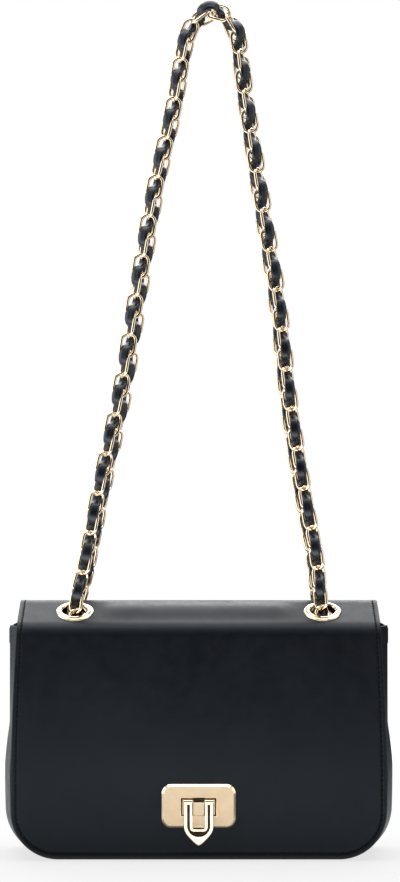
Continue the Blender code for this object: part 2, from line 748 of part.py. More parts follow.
class FlipLock:
    """The lock's half on the bag: base, post, washer, pin and the latch that flips over the plate."""

    def __init__(self, gold, steel, swing, latch_axis):
        self.gold = gold
        self.steel = steel
        self.swing = swing
        self.latch_axis = latch_axis
        self.window_z = LOCK_HEIGHT - WINDOW_DROP
        self.post_width = WINDOW_WIDTH - 2 * POST_CLEARANCE
        self.post_height = WINDOW_HEIGHT - 2 * POST_CLEARANCE

    @staticmethod
    def pin_place():
        """Height and depth of the latch's pin."""
        z = LOCK_HEIGHT - WINDOW_DROP + WINDOW_HEIGHT / 2 - PIN_DROP
        y = -BASE_HALF_DEPTH - GAP - PLATE_THICKNESS - GAP - BARREL_RADIUS
        return y, z

    def post(self):
        """A base plate under the flap and a post through the window, with the hinge's knuckle and tongue."""
        pin_y, pin_z = self.pin_place()
        back = FRONT_Y - GAP
        margin = 2 * BASE_PLATE_MARGIN
        width, height = WINDOW_WIDTH + margin, WINDOW_HEIGHT + margin
        outline = rounded_box(width, height, BASE_PLATE_MARGIN / 2, self.window_z, SMALL_CORNER_STEPS)
        rings = [plate_ring(outline, back), plate_ring(outline, back - BASE_PLATE_THICKNESS)]
        base = stack("lock_post", rings, self.gold, self.swing)
        block_front = -BASE_HALF_DEPTH - GAP - PLATE_THICKNESS + POST_CLEARANCE
        block = box_outline(self.post_width, self.post_height, self.window_z)
        half = KNUCKLE_WIDTH / 2
        middle = back - BASE_PLATE_THICKNESS / 2
        body = stack("post_block", [plate_ring(block, middle), plate_ring(block, block_front)], hidden=True)
        tongue_front = pin_y - BARREL_RADIUS
        low = pin_z - TONGUE_LENGTH
        tongue = [(half, pin_z), (-half, pin_z), (-half, low), (half, low)]
        rings = [plate_ring(tongue, block_front + POST_CLEARANCE), plate_ring(tongue, tongue_front)]
        lip = stack("post_tongue", rings, hidden=True)
        knuckle = rod("post_knuckle", (-half, pin_y, pin_z), (half, pin_y, pin_z), BARREL_RADIUS,
                      sides=BARREL_SIDES, hidden=True)
        bore = rod("post_bore", (-half - CUT_OVERRUN, pin_y, pin_z), (half + CUT_OVERRUN, pin_y, pin_z),
                   PIN_RADIUS + PIN_CLEARANCE, sides=PIN_SIDES, hidden=True)
        for other in (body, lip, knuckle):
            combine(base, other, "UNION")
        combine(base, bore, "DIFFERENCE")

    def washer(self):
        """The washer inside the front wall that the base is fixed to."""
        front = FRONT_Y + LEATHER + GAP
        margin = 2 * BASE_PLATE_MARGIN
        width, height = WINDOW_WIDTH + margin, WINDOW_HEIGHT + margin
        outline = rounded_box(width, height, BASE_PLATE_MARGIN / 2, self.window_z, SMALL_CORNER_STEPS)
        rings = [plate_ring(outline, front), plate_ring(outline, front + BASE_PLATE_THICKNESS)]
        stack("lock_washer", rings, self.steel, self.swing)

    def pin(self):
        """The pin that the latch turns on."""
        pin_y, pin_z = self.pin_place()
        reach = LATCH_WIDTH / 2 - GAP
        rod("latch_pin", (-reach, pin_y, pin_z), (reach, pin_y, pin_z), PIN_RADIUS, self.steel, self.swing,
            PIN_SIDES)

    def latch_outline(self, inset):
        """The arrow-shaped outline of the latch, in x and z."""
        _, pin_z = self.pin_place()
        half = LATCH_WIDTH / 2 - inset
        length = LATCH_LENGTH - inset * LATCH_TIP_INSET_SHARE
        right = [(half * across, pin_z - length * down) for across, down in LATCH_OUTLINE_SHARES]
        return right + [(-x, z) for x, z in reversed(right)]

    @staticmethod
    def u_path(half, low, corner):
        """A U without its top, from its right side round its low edge to its left side, in x and z."""
        right = []
        for step in range(CORNER_STEPS + 1):
            angle = math.pi / 2 * step / CORNER_STEPS
            right.append((half - corner + corner * math.cos(angle), low + corner - corner * math.sin(angle)))
        left = [(-x, z) for x, z in reversed(right)]
        return right + left if half > corner else right + left[1:]

    def groove(self, pin_z):
        """The groove round the raised U: a round U outside and a flatter one inside, as one outline."""
        top = pin_z - BARREL_RADIUS
        outer_half, inner_half = GROOVE_OFFSET + GROOVE_WIDTH / 2, GROOVE_OFFSET - GROOVE_WIDTH / 2
        outer = self.u_path(outer_half, pin_z - GROOVE_DROP, outer_half)
        inner = self.u_path(inner_half, pin_z - RIB_DROP, RIB_CORNER)
        ends = [(-outer_half, top), (-inner_half, top)]
        return [(outer_half, top), *outer, *ends, *inner[::-1], (inner_half, top)]

    def latch(self):
        """The latch: an arrow with a groove round a raised U, a sunk floor, a slot and two barrels."""
        pin_y, pin_z = self.pin_place()
        back = pin_y + BARREL_RADIUS
        front = back - LATCH_THICKNESS
        rings = []
        for inset, y in ((0.0, back), (0.0, front + LATCH_BEVEL), (LATCH_BEVEL, front)):
            rings.append(plate_ring(self.latch_outline(inset), y))
        latch = stack("latch", rings, self.gold, self.latch_axis)
        overrun = front - CUT_OVERRUN
        top = pin_z + CUT_OVERRUN
        cuts = [("latch_groove", self.groove(pin_z), front + GROOVE_DEPTH)]
        inner = GROOVE_OFFSET - GROOVE_WIDTH / 2 - RIB_WIDTH
        floor = self.u_path(inner, pin_z - RIB_DROP + RIB_FOOT_WIDTH, POCKET_CORNER)
        cuts.append(("latch_floor", [(inner, top), *floor, (-inner, top)], front + POCKET_DEPTH))
        slot_half = KNUCKLE_WIDTH / 2 + PIN_CLEARANCE
        slot_low = pin_z - TONGUE_LENGTH - PIN_CLEARANCE
        slot = [(slot_half, top), (-slot_half, top), (-slot_half, slot_low), (slot_half, slot_low)]
        cuts.append(("latch_slot", slot, back + CUT_OVERRUN))
        barrels = []
        for side in (-1, 1):
            near = side * slot_half
            far = side * LATCH_WIDTH / 2
            barrels.append(rod(f"barrel_{side}", (near, pin_y, pin_z), (far, pin_y, pin_z), BARREL_RADIUS,
                               sides=BARREL_SIDES, hidden=True))
        for barrel in barrels:
            combine(latch, barrel, "UNION")
        for name, outline, depth in cuts:
            cutter = stack(name, [plate_ring(outline, overrun), plate_ring(outline, depth)], hidden=True)
            combine(latch, cutter, "DIFFERENCE")
        reach = LATCH_WIDTH / 2 + CUT_OVERRUN
        bore = rod("latch_bore", (-reach, pin_y, pin_z), (reach, pin_y, pin_z),
                   PIN_RADIUS + PIN_CLEARANCE, sides=PIN_SIDES, hidden=True)
        combine(latch, bore, "DIFFERENCE")

    def build(self):
        """All the lock's pieces on the bag's side."""
        self.post()
        self.washer()
        self.pin()
        self.latch()


def catmull(before, here, after, beyond, share):
    """A point of a smooth curve between two points."""
    leave = (after - before) / 2 * (share - 2 * share**2 + share**3)
    arrive = (beyond - here) / 2 * (share**3 - share**2)
    blend = 3 * share**2 - 2 * share**3
    return here * (1 - blend) + after * blend + leave + arrive


class Strap:
    """The chain of oval links and the lace woven through it: one closed loop through four eyelets."""

    SAMPLES = 12

    def __init__(self, gold, lace):
        self.gold = gold
        self.lace = lace
        self.points, self.turns = self.sampled_route()
        self.lengths = self.running_length()
        self.outward = self.outward_directions()
        total = self.lengths[-1]
        self.count = 2 * round(total / LINK_PITCH / 2)
        self.pitch = total / self.count

    def route(self):
        """Points of the closed route with the share of the strap's turn at each."""
        half = EYELET_SPACING / 2
        rows = []
        for across, rise, turn in STRAND_ROUTE_SHARES:
            y = -(STRAND_Y + (CROWN_Y - STRAND_Y) * rise)
            rows.append((Vector((across * half, y, EYELET_Z + rise * STRAP_RISE)), turn))
        right = STRAND_ROUTE_SHARES[-1][0] * half
        for deep, drop in INSIDE_ROUTE_SHARES:
            rows.append((Vector((right, deep * STRAND_Y, EYELET_Z - drop * INSIDE_DROP)), 0.0))
        for across, rise, turn in reversed(STRAND_ROUTE_SHARES):
            y = STRAND_Y + (CROWN_Y - STRAND_Y) * rise
            draw = 1 - (1 - BACK_ACROSS_SHARE) * math.sin(math.pi * min(rise + BACK_DRAW_START_SHARE, 1.0))
            if rise < EYELET_RISE_SHARE:
                draw = 1.0
            x = (across - CROWN_ACROSS_SHARE) * draw + CROWN_ACROSS_SHARE
            rows.append((Vector((x * half, y, EYELET_Z + rise * STRAP_RISE)), turn))
        left = STRAND_ROUTE_SHARES[0][0] * half
        for deep, drop in reversed(INSIDE_ROUTE_SHARES):
            rows.append((Vector((left, deep * STRAND_Y, EYELET_Z - drop * INSIDE_DROP)), 0.0))
        return rows

    def sampled_route(self):
        """The smooth closed curve through the route's points, as many short steps."""
        rows = self.route()
        count = len(rows)
        points, turns = [], []
        for index in range(count):
            four = [rows[(index + shift) % count] for shift in (-1, 0, 1, 2)]
            for step in range(self.SAMPLES):
                share = step / self.SAMPLES
                points.append(catmull(*[row[0] for row in four], share))
                turns.append(four[1][1] + (four[2][1] - four[1][1]) * share)
        return points + points[:1], turns + turns[:1]

    def running_length(self):
        """Length along the curve at each sample."""
        lengths = [0.0]
        for here, after in zip(self.points, self.points[1:]):
            lengths.append(lengths[-1] + (after - here).length)
        return lengths

    def outward_directions(self):
        """A direction square to the curve at each sample that faces away from the bag's middle plane."""
        directions = []
        for index in range(len(self.points)):
            along = self.tangent(index)
            guess = Vector((0, -1, 0)) if not directions else directions[-1]
            directions.append((guess - along * guess.dot(along)).normalized())
        return directions

    def tangent(self, index):
        """Unit direction of the curve at a sample."""
        count = len(self.points) - 1
        before = self.points[(index - 1) % count]
        after = self.points[(index + 1) % count]
        return (after - before).normalized()

    def at(self, length):
        """Place, direction and turned outward direction at a length along the loop."""
        total = self.lengths[-1]
        length = length % total
        low, high = 0, len(self.lengths) - 1
        while high - low > 1:
            middle = (low + high) // 2
            if self.lengths[middle] <= length:
                low = middle
            else:
                high = middle
        share = (length - self.lengths[low]) / (self.lengths[high] - self.lengths[low])
        place = self.points[low].lerp(self.points[high], share)
        along = (self.points[high] - self.points[low]).normalized()
        turn = (self.turns[low] + (self.turns[high] - self.turns[low]) * share) * STRAP_TURN
        out = self.outward[low].lerp(self.outward[high], share)
        out = (out - along * out.dot(along)).normalized()
        return place, along, Matrix.Rotation(turn, 3, along) @ out

    def link_mesh(self, index, free_start, free_end):
        """One oval link between two contact points, as rings of four corners round eight stations."""
        start, _, _ = self.at(index * self.pitch)
        end, _, _ = self.at((index + 1) * self.pitch)
        _, _, out = self.at((index + 0.5) * self.pitch)
        along = (end - start).normalized()
        out = (out - along * out.dot(along)).normalized()
        lean = LINK_LEAN if index % 2 else -LINK_LEAN
        normal = Matrix.Rotation(lean, 3, along) @ out
        across = along.cross(normal)
        radius = WIRE / 2
        low = -(radius + (GAP if free_start else -LINK_OVERLAP) / 2) / self.half_bend(index)
        reach = (radius + (GAP if free_end else -LINK_OVERLAP) / 2) / self.half_bend(index + 1)
        high = (end - start).length + reach
        half = (LINK_WIDTH - WIRE) / 2
        tip, shoulder = half * LINK_TIP_SHARE, half * LINK_SHOULDER_SHARE
        stations = [(low, tip), (low + shoulder, half), (high - shoulder, half), (high, tip),
                    (high, -tip), (high - shoulder, -half), (low + shoulder, -half), (low, -tip)]
        middle = Vector(((low + high) / 2, 0.0))
        points = []
        count = len(stations)
        for step, (length, width) in enumerate(stations):
            here = Vector((length, width))
            before = Vector(stations[step - 1])
            after = Vector(stations[(step + 1) % count])
            first, second = (here - before).normalized(), (after - here).normalized()
            away = Vector((first.y + second.y, -(first.x + second.x))).normalized()
            if away.dot(here - middle) < 0:
                away = -away
            mitre = radius / first.dot((first + second).normalized())
            centre = start + along * length + across * width
            away_3d = along * away.x + across * away.y
            points += [centre + away_3d * mitre, centre + normal * radius]
            points += [centre - away_3d * mitre, centre - normal * radius]
        faces = []
        for step in range(count):
            a, b = step * 4, ((step + 1) % count) * 4
            for corner in range(4):
                after = (corner + 1) % 4
                faces.append((a + corner, a + after, b + after, b + corner))
        return points, faces

    def half_bend(self, index):
        """Cosine of half the angle between the two links that meet at a contact."""
        before, here, after = (self.at((index + shift) * self.pitch)[0] for shift in (-1, 0, 1))
        along = (here - before).normalized().dot((after - here).normalized())
        return math.sqrt((1 + along) / 2)

    def chain(self, name, first, last, parent=None):
        """The links from one index up to another, joined where each hangs in the next."""
        halves = []
        for parity in (0, 1):
            points, faces = [], []
            for index in range(first, last):
                if index % 2 != parity:
                    continue
                more, quads = self.link_mesh(index, index == first, index == last - 1)
                faces += [tuple(corner + len(points) for corner in quad) for quad in quads]
                points += more
            halves.append((points, faces))
        piece = object_from(name, *halves[0], self.gold, parent)
        other = object_from(f"{name}_other_links", *halves[1], None, hidden=True)
        combine(piece, other, "UNION")
        return piece

    def lace_run(self, name, first, last, parent=None):
        """The lace from one contact to another, passing through each link to the other side of the chain."""
        rings = []
        reached = first
        margin = GAP / self.pitch / 2
        for index in range(first, last + 1):
            for shift in (-LACE_HOLD_SHARE, LACE_HOLD_SHARE):
                station = min(max(index + shift, first + margin), last - margin)
                if rings and station <= reached:
                    continue
                reached = station
                place, along, _ = self.at(station * self.pitch)
                _, _, out = self.at(index * self.pitch)
                out = (out - along * out.dot(along)).normalized()
                side = 1 if index % 2 else -1
                across = along.cross(out)
                lift = LACE_OFFSET + LACE_BEND_LIFT * (1 - self.half_bend(index))
                middle = place + out * (side * lift)
                half_width, half_thick = LACE_WIDTH / 2, LACE_THICKNESS / 2
                ring = []
                for a, b in ((1, 1), (-1, 1), (-1, -1), (1, -1)):
                    ring.append(middle + across * (a * half_width) + out * (b * half_thick))
                rings.append(ring)
        return stack(name, rings, self.lace, parent)

    def contact_near(self, place):
        """Index of the contact nearest to a place on the route."""
        best = min(range(len(self.points) - 1), key=lambda index: (self.points[index] - place).length)
        return round(self.lengths[best] / self.pitch)

    def build(self):
        """The chain and the lace, each in six runs round the loop."""
        half = EYELET_SPACING / 2
        low = EYELET_Z + SPLIT_RISE
        crown_z = EYELET_Z + STRAP_RISE * SPLIT_RISE_SHARE
        crown_x = SPLIT_ACROSS_SHARE * half
        left, right = STRAND_ROUTE_SHARES[0][0] * half, STRAND_ROUTE_SHARES[-1][0] * half
        marks = [
            ("front_left", Vector((left, -STRAND_Y, low))),
            ("front_right", Vector((crown_x, -CROWN_Y, crown_z))),
            ("inside_right", Vector((right, -STRAND_Y, low))),
            ("back_right", Vector((right, STRAND_Y, low))),
            ("back_left", Vector((crown_x, CROWN_Y, crown_z))),
            ("inside_left", Vector((left, STRAND_Y, low))),
        ]
        stations = [self.contact_near(place) for _, place in marks]
        stations[0] = min(stations[0], stations[0] - self.count, key=abs)
        stations.append(stations[0] + self.count)
        for (name, _), first, last in zip(marks, stations, stations[1:]):
            self.chain(f"chain_{name}", first, last)
            self.lace_run(f"lace_{name}", first, last)


def main():
    """Build the whole bag."""
    clear_scene()
    leather = finish("black_leather", (0.024, 0.025, 0.030), 0.0, 0.42)
    lace = finish("black_lace", (0.026, 0.027, 0.032), 0.0, 0.38)
    lining = finish("black_lining", (0.035, 0.034, 0.036), 0.0, 0.85)
    board = finish("grey_board", (0.30, 0.28, 0.25), 0.0, 0.8)
    gold = finish("pale_gold", (0.83, 0.68, 0.47), 1.0, 0.22)
    steel = finish("inner_steel", (0.62, 0.58, 0.50), 1.0, 0.35)
    swing = axis_empty("bag_swing_axis", (0.0, 0.0, EYELET_Z + SWING_RISE))
    band_y, band_z = band_point(1.0)
    hinge_y = band_y - HINGE_HEIGHT * math.sin(BAND_SLOPE)
    hinge_z = band_z + HINGE_HEIGHT * math.cos(BAND_SLOPE)
    flap_hinge = axis_empty("flap_hinge_axis", (0.0, hinge_y, hinge_z), swing)
    pin_y, pin_z = FlipLock.pin_place()
    latch_axis = axis_empty("latch_axis", (0.0, pin_y, pin_z), swing)
    Body(leather, lining, board, swing).build()
    Eyelets(gold, steel, swing).build()
    Flap(leather, lining, gold, steel, flap_hinge).build()
    FlipLock(gold, steel, swing, latch_axis).build()
    Strap(gold, lace).build()


main()
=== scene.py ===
"""Looks of a crossbody bag with a front flap, a flip lock and a doubled chain strap woven with leather lace.

Shapes are drawn in the bag's own frame, with x from the bag's middle, z up from its base and y as the part
has it, and are then put in their place. Lengths are metres.
"""

import logging
import math
from bisect import bisect_right
from collections.abc import Callable
from dataclasses import dataclass, field
from enum import Enum

import bpy
from mathutils import Matrix, Vector


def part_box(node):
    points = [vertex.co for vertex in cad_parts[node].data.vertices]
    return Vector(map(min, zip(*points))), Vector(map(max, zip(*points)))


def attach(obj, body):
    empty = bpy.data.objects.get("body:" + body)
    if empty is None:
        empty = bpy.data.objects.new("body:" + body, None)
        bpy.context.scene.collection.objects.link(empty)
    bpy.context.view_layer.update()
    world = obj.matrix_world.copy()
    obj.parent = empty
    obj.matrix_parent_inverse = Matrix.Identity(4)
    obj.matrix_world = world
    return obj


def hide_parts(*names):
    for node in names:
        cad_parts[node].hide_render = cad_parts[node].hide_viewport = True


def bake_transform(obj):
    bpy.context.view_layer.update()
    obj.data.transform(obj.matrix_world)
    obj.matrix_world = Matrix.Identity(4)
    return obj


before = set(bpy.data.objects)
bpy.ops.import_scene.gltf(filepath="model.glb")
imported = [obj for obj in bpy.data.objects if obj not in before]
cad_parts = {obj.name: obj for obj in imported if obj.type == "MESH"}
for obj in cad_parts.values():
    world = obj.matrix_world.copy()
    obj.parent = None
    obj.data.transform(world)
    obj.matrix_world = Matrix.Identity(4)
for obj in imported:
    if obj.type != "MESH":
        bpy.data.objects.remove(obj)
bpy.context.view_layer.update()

log = logging.getLogger("bag")
MM = 0.001
FULL_TURN = 2 * math.pi

Piece = bpy.types.Object
Material = bpy.types.Material
Socket = bpy.types.NodeSocket
Pair = tuple[float, float]
Triple = tuple[float, float, float]
WHITE = (1.0, 1.0, 1.0, 1.0)


class Body(Enum):
    """What a piece moves with."""

    STRAP = "strap"
    BAG = "bag"
    FLAP = "flap"
    LATCH = "latch"


class Slot(Enum):
    """The record's material slots."""

    LEATHER = "black_leather"
    LACE = "black_lace"
    LINING = "black_lining"
    GOLD = "pale_gold"
    STEEL = "inner_steel"
    BOARD = "grey_board"


class Side(Enum):
    """Left or right of the bag, seen from the front."""

    LEFT = -1
    RIGHT = 1


class Face(Enum):
    """Front or back of the bag."""

    FRONT = -1
    BACK = 1


def clamped(value: float) -> float:
    """A value held between 0 and 1."""
    return min(max(value, 0.0), 1.0)


def eased(value: float) -> float:
    """A value held between 0 and 1, with a soft start and a soft end."""
    share = clamped(value)
    return share * share * (3 - 2 * share)


def bump(away: float) -> float:
    """Height of a soft bump, 1 at its middle and next to nothing at 2."""
    return math.exp(-(away ** 2))


def lengths_along(points: list[Vector]) -> list[float]:
    """Length of a line from its first point to each of its points.

    Args:
        points: the line's points in order.

    Returns:
        The lengths.
    """
    lengths = [0.0]
    for here, after in zip(points, points[1:]):
        lengths.append(lengths[-1] + (after - here).length)
    return lengths


def step_at(lengths: list[float], length: float) -> tuple[int, float]:
    """Index of the step that holds a length, and the share of the way along it."""
    low = min(max(bisect_right(lengths, length) - 1, 0), len(lengths) - 2)
    return low, (length - lengths[low]) / (lengths[low + 1] - lengths[low])


def stand_in(piece: Piece, slot: Slot, node: str = "") -> None:
    """Let a piece stand for a node of the part, if it has one, by hiding that node."""
    if node:
        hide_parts(node)


def hand_over(piece: Piece, body: Body, slot: Slot, node: str = "") -> None:
    """Let a piece in its place ride on a body, and stand for a node of the part, if it has one."""
    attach(piece, body.value)
    stand_in(piece, slot, node)


class Nodes:
    """A tree of shader nodes that is put together one node at a time."""

    def __init__(self, tree: bpy.types.NodeTree) -> None:
        """Keep the tree that the nodes go into."""
        self.tree = tree

    def feed(self, node: bpy.types.Node, inputs: dict[str | int, object]) -> None:
        """Fill a node's inputs, each with a value or with a socket to link."""
        for name, value in inputs.items():
            if isinstance(value, Socket):
                self.tree.links.new(value, node.inputs[name])
            else:
                node.inputs[name].default_value = value

    def add(self, kind: str, output: str | int, inputs: dict[str | int, object], **options: object) -> Socket:
        """Add a node.

        Args:
            kind: its type, without the words that every type starts with.
            output: name or index of the output that is wanted.
            inputs: a value, or a socket to link, for each input.
            options: its other settings.

        Returns:
            The output's socket.
        """
        node = self.tree.nodes.new("ShaderNode" + kind)
        for name, value in options.items():
            setattr(node, name, value)
        self.feed(node, inputs)
        return node.outputs[output]

    def mixed(self, first: Socket, second: Socket, operation: str) -> Socket:
        """Two patterns put together by an operation such as ADD or MULTIPLY."""
        return self.add("Math", 0, {0: first, 1: second}, operation=operation)

    def carried(self, value: Socket, start: float, end: float, low: float, high: float,
                interpolation: str = "SMOOTHSTEP") -> Socket:
        """A value carried from the range between start and end to the one between low and high."""
        ends = {"From Min": start, "From Max": end, "To Min": low, "To Max": high}
        return self.add("MapRange", "Result", {"Value": value, **ends}, interpolation_type=interpolation)


class Paint(Nodes):
    """A material and its nodes."""

    wave_rate = 20
    middle = (0.3, 0.7)

    def __init__(self, name: str) -> None:
        """Start a material with a Principled shader.

        Args:
            name: the material's name.
        """
        self.material = bpy.data.materials.new(name)
        self.material.use_nodes = True
        super().__init__(self.material.node_tree)
        self.shader = self.tree.nodes["Principled BSDF"]
        self.place = self.add("TexCoord", "Object", {})

    def set(self, **values: object) -> None:
        """Set or link the shader's own sockets, by names with underscores."""
        self.feed(self.shader, {name.replace("_", " "): value for name, value in values.items()})

    def noise(self, size: float, detail: float = 3.0, scale: Triple = (1.0, 1.0, 1.0)) -> Socket:
        """A noise with spots about a size wide, some finer octaves, and a scale along x, y and z."""
        place = self.add("Mapping", "Vector", {"Vector": self.place, "Scale": scale})
        return self.add("TexNoise", "Fac", {"Vector": place, "Scale": 1 / size, "Detail": detail})

    def cells(self, size: float) -> Socket:
        """Distance to the edges of cells about a size wide, as in grained leather."""
        inputs = {"Vector": self.place, "Scale": 1 / size}
        return self.add("TexVoronoi", "Distance", inputs, feature="DISTANCE_TO_EDGE")

    def waves(self, pitch: float, direction: str, distortion: float = 0.0) -> Socket:
        """Even ridges a pitch apart, along X, Y, Z or DIAGONAL."""
        rate = FULL_TURN / (self.wave_rate * pitch)
        return self.add("TexWave", "Fac", {"Vector": self.place, "Scale": rate, "Distortion": distortion},
                        bands_direction=direction)

    def tint(self, pattern: Socket, low: Triple, high: Triple, start: float = 0.3, end: float = 0.7) -> None:
        """Let the base colour run between two shades with a pattern.

        Args:
            pattern: the socket that drives it.
            low: shade where the pattern is low.
            high: shade where the pattern is high.
            start: the pattern's value at which the low shade ends.
            end: the pattern's value at which the high shade starts.
        """
        ramp = self.tree.nodes.new("ShaderNodeValToRGB")
        for element, place, shade in zip(ramp.color_ramp.elements, (start, end), (low, high)):
            element.position = place
            element.color = (*shade, 1.0)
        self.feed(ramp, {"Fac": pattern})
        self.set(Base_Color=ramp.outputs["Color"])
        self.material.diffuse_color = (*high, 1.0)

    def roughen(self, pattern: Socket, low: float, high: float) -> None:
        """Let the roughness run between two values with a pattern."""
        self.set(Roughness=self.carried(pattern, *self.middle, low, high, "LINEAR"))

    def emboss(self, pattern: Socket, depth: float, strength: float = 1.0) -> None:
        """Press a pattern into the surface, over what is pressed there already.

        Args:
            pattern: the socket with the height, from 0 to 1.
            depth: real height of the pattern.
            strength: share of it that shows.
        """
        inputs = {"Height": pattern, "Distance": depth, "Strength": strength}
        earlier = self.shader.inputs["Normal"].links
        if earlier:
            inputs["Normal"] = earlier[0].from_socket
        self.set(Normal=self.add("Bump", "Normal", inputs))


@dataclass(frozen=True)
class Finish:
    """A finish whose colour runs between two shades."""

    name: str
    low: Triple
    high: Triple

    def material(self) -> Material:
        """Make the finish.

        Returns:
            The finish as a node material.
        """
        paint = Paint(self.name)
        self.coat(paint)
        return paint.material

    def coat(self, paint: Paint) -> None:
        """Put the finish's colour, gloss and relief on a new material, each kind in its own way."""
        raise NotImplementedError(self.name)


@dataclass(frozen=True)
class Leather(Finish):
    """Smooth calf with a fine grain, uneven sheen and a little wear."""

    shine: Pair = (0.36, 0.46)
    specular: float = 0.22
    grain: float = 0.7 * MM
    grain_depth: float = 0.035 * MM
    crease_depth: float = 0.10 * MM
    cloud: float = 26 * MM
    gloss: Triple = (0.80, 0.90, 1.0)

    def coat(self, paint: Paint) -> None:
        """Cloud the colour and the sheen, and press in slow creases, the grain's cells and its pores.

        Args:
            paint: the new material.
        """
        paint.set(Specular_IOR_Level=self.specular, Specular_Tint=(*self.gloss, 1.0))
        paint.tint(paint.noise(self.cloud, detail=5.0), self.low, self.high)
        paint.roughen(paint.noise(self.cloud / 4, detail=6.0), *self.shine)
        paint.emboss(paint.noise(self.cloud / 3, detail=2.0), self.crease_depth, strength=0.5)
        paint.emboss(paint.cells(self.grain), self.grain_depth, strength=0.8)
        paint.emboss(paint.noise(self.grain / 3, detail=2.0), self.grain_depth / 2, strength=0.7)


@dataclass(frozen=True)
class EdgePaint(Finish):
    """The rubbery paint on cut edges, smoother than the leather and a little worn."""

    wander: float = 1.4 * MM
    ripple: float = 0.05 * MM
    shine: Pair = (0.28, 0.42)

    def coat(self, paint: Paint) -> None:
        """Let the paint be worn in places and ripple a little.

        Args:
            paint: the new material.
        """
        paint.set(Specular_IOR_Level=0.5)
        paint.tint(paint.noise(self.wander * 4, detail=4.0), self.low, self.high, start=0.45, end=0.75)
        paint.roughen(paint.noise(self.wander), *self.shine)
        paint.emboss(paint.noise(self.wander, detail=2.0), self.ripple, strength=0.6)


@dataclass(frozen=True)
class Thread(Finish):
    """Waxed thread with a visible twist."""

    twist: float = 0.45 * MM
    depth: float = 0.06 * MM
    shine: Pair = (0.45, 0.6)

    def coat(self, paint: Paint) -> None:
        """Twist the thread, with painted shade darkening its grooves.

        Args:
            paint: the new material.
        """
        paint.set(Specular_IOR_Level=0.12)
        twist = paint.waves(self.twist, "DIAGONAL")
        # The twist's grooves take the low shade: painted shade.
        paint.tint(twist, self.low, self.high, start=0.1, end=0.9)
        paint.roughen(paint.noise(self.twist * 3), *self.shine)
        paint.emboss(twist, self.depth)


@dataclass(frozen=True)
class Metal(Finish):
    """Plated metal: satin where it is brushed, bright where it is polished."""

    shine: Pair
    scratch: float = 0.5 * MM
    scratch_depth: float = 0.004 * MM
    brushed: Triple = (1.0, 1.0, 1.0)
    metallic: float = 1.0

    def coat(self, paint: Paint) -> None:
        """Let the plating's colour and gloss vary, and scratch it.

        Args:
            paint: the new material.
        """
        paint.set(Metallic=self.metallic)
        paint.tint(paint.noise(self.scratch * 18, detail=4.0), self.low, self.high)
        paint.roughen(paint.noise(self.scratch * 6, detail=5.0), *self.shine)
        scratches = paint.noise(self.scratch, detail=4.0, scale=self.brushed)
        paint.emboss(scratches, self.scratch_depth, strength=0.7)


@dataclass(frozen=True)
class Lining(Finish):
    """A closely woven cloth with a matt face."""

    pitch: float = 0.55 * MM
    depth: float = 0.12 * MM
    shine: Pair = (0.72, 0.9)
    wander: float = 0.4

    def coat(self, paint: Paint) -> None:
        """Weave threads that run along all three directions, so that every side of the cloth shows them.

        Args:
            paint: the new material.
        """
        paint.set(Specular_IOR_Level=0.25, Sheen_Weight=0.3)
        along, up, across = (paint.waves(self.pitch, direction, self.wander) for direction in "XZY")
        weave = paint.mixed(paint.mixed(along, up, "MULTIPLY"), across, "ADD")
        paint.tint(weave, self.low, self.high, start=0.1, end=1.2)
        paint.roughen(paint.noise(self.pitch * 20, detail=4.0), *self.shine)
        paint.emboss(weave, self.depth)


@dataclass(frozen=True)
class Board(Finish):
    """Pressed fibre board."""

    fibre: float = 1.2 * MM
    shine: Pair = (0.75, 0.95)

    def coat(self, paint: Paint) -> None:
        """Mottle the board with its fibres.

        Args:
            paint: the new material.
        """
        paint.tint(paint.noise(self.fibre, detail=6.0), self.low, self.high)
        paint.roughen(paint.noise(self.fibre * 3), *self.shine)
        paint.emboss(paint.noise(self.fibre / 2, detail=4.0), self.fibre / 8)


class Finishes:
    """Every finish of the bag, made once."""

    def __init__(self) -> None:
        """Make the materials."""
        self.leather = Leather("calf_black", (0.0036, 0.0044, 0.0062), (0.0052, 0.0062, 0.0086)).material()
        self.lace = Leather("lace_black", (0.0040, 0.0046, 0.0060), (0.0090, 0.0100, 0.0125),
                            shine=(0.24, 0.34), specular=0.55, grain=0.5 * MM).material()
        self.suede = Leather("calf_reverse", (0.020, 0.019, 0.019), (0.034, 0.032, 0.031), shine=(0.8, 0.95),
                             specular=0.1, grain=0.25 * MM, grain_depth=0.08 * MM).material()
        self.edge = EdgePaint("edge_paint", (0.004, 0.005, 0.006), (0.010, 0.011, 0.013)).material()
        self.thread = Thread("thread_black", (0.0008, 0.0008, 0.0010), (0.0030, 0.0030, 0.0040)).material()
        self.polished = Metal("gold_polished", (0.90, 0.72, 0.50), (0.96, 0.79, 0.57),
                              shine=(0.05, 0.11)).material()
        self.satin = Metal("gold_satin", (0.72, 0.56, 0.37), (0.79, 0.62, 0.42), shine=(0.42, 0.50),
                           scratch=0.35 * MM, scratch_depth=0.006 * MM, brushed=(0.15, 1.0, 1.6),
                           metallic=0.75).material()
        # Near-black gold for the lock's deep faces: painted shade in its groove, pocket and window, and a
        # painted shadow atop the knuckle.
        self.painted_shade_gold = Metal("gold_painted_shade", (0.020, 0.014, 0.009), (0.055, 0.040, 0.026),
                            shine=(0.22, 0.34)).material()
        self.steel = Metal("inner_steel", (0.50, 0.47, 0.41), (0.62, 0.58, 0.50),
                           shine=(0.28, 0.42)).material()
        self.lining = Lining("lining_black", (0.018, 0.018, 0.020), (0.050, 0.049, 0.052)).material()
        self.board = Board("board_grey", (0.22, 0.20, 0.18), (0.36, 0.33, 0.29)).material()


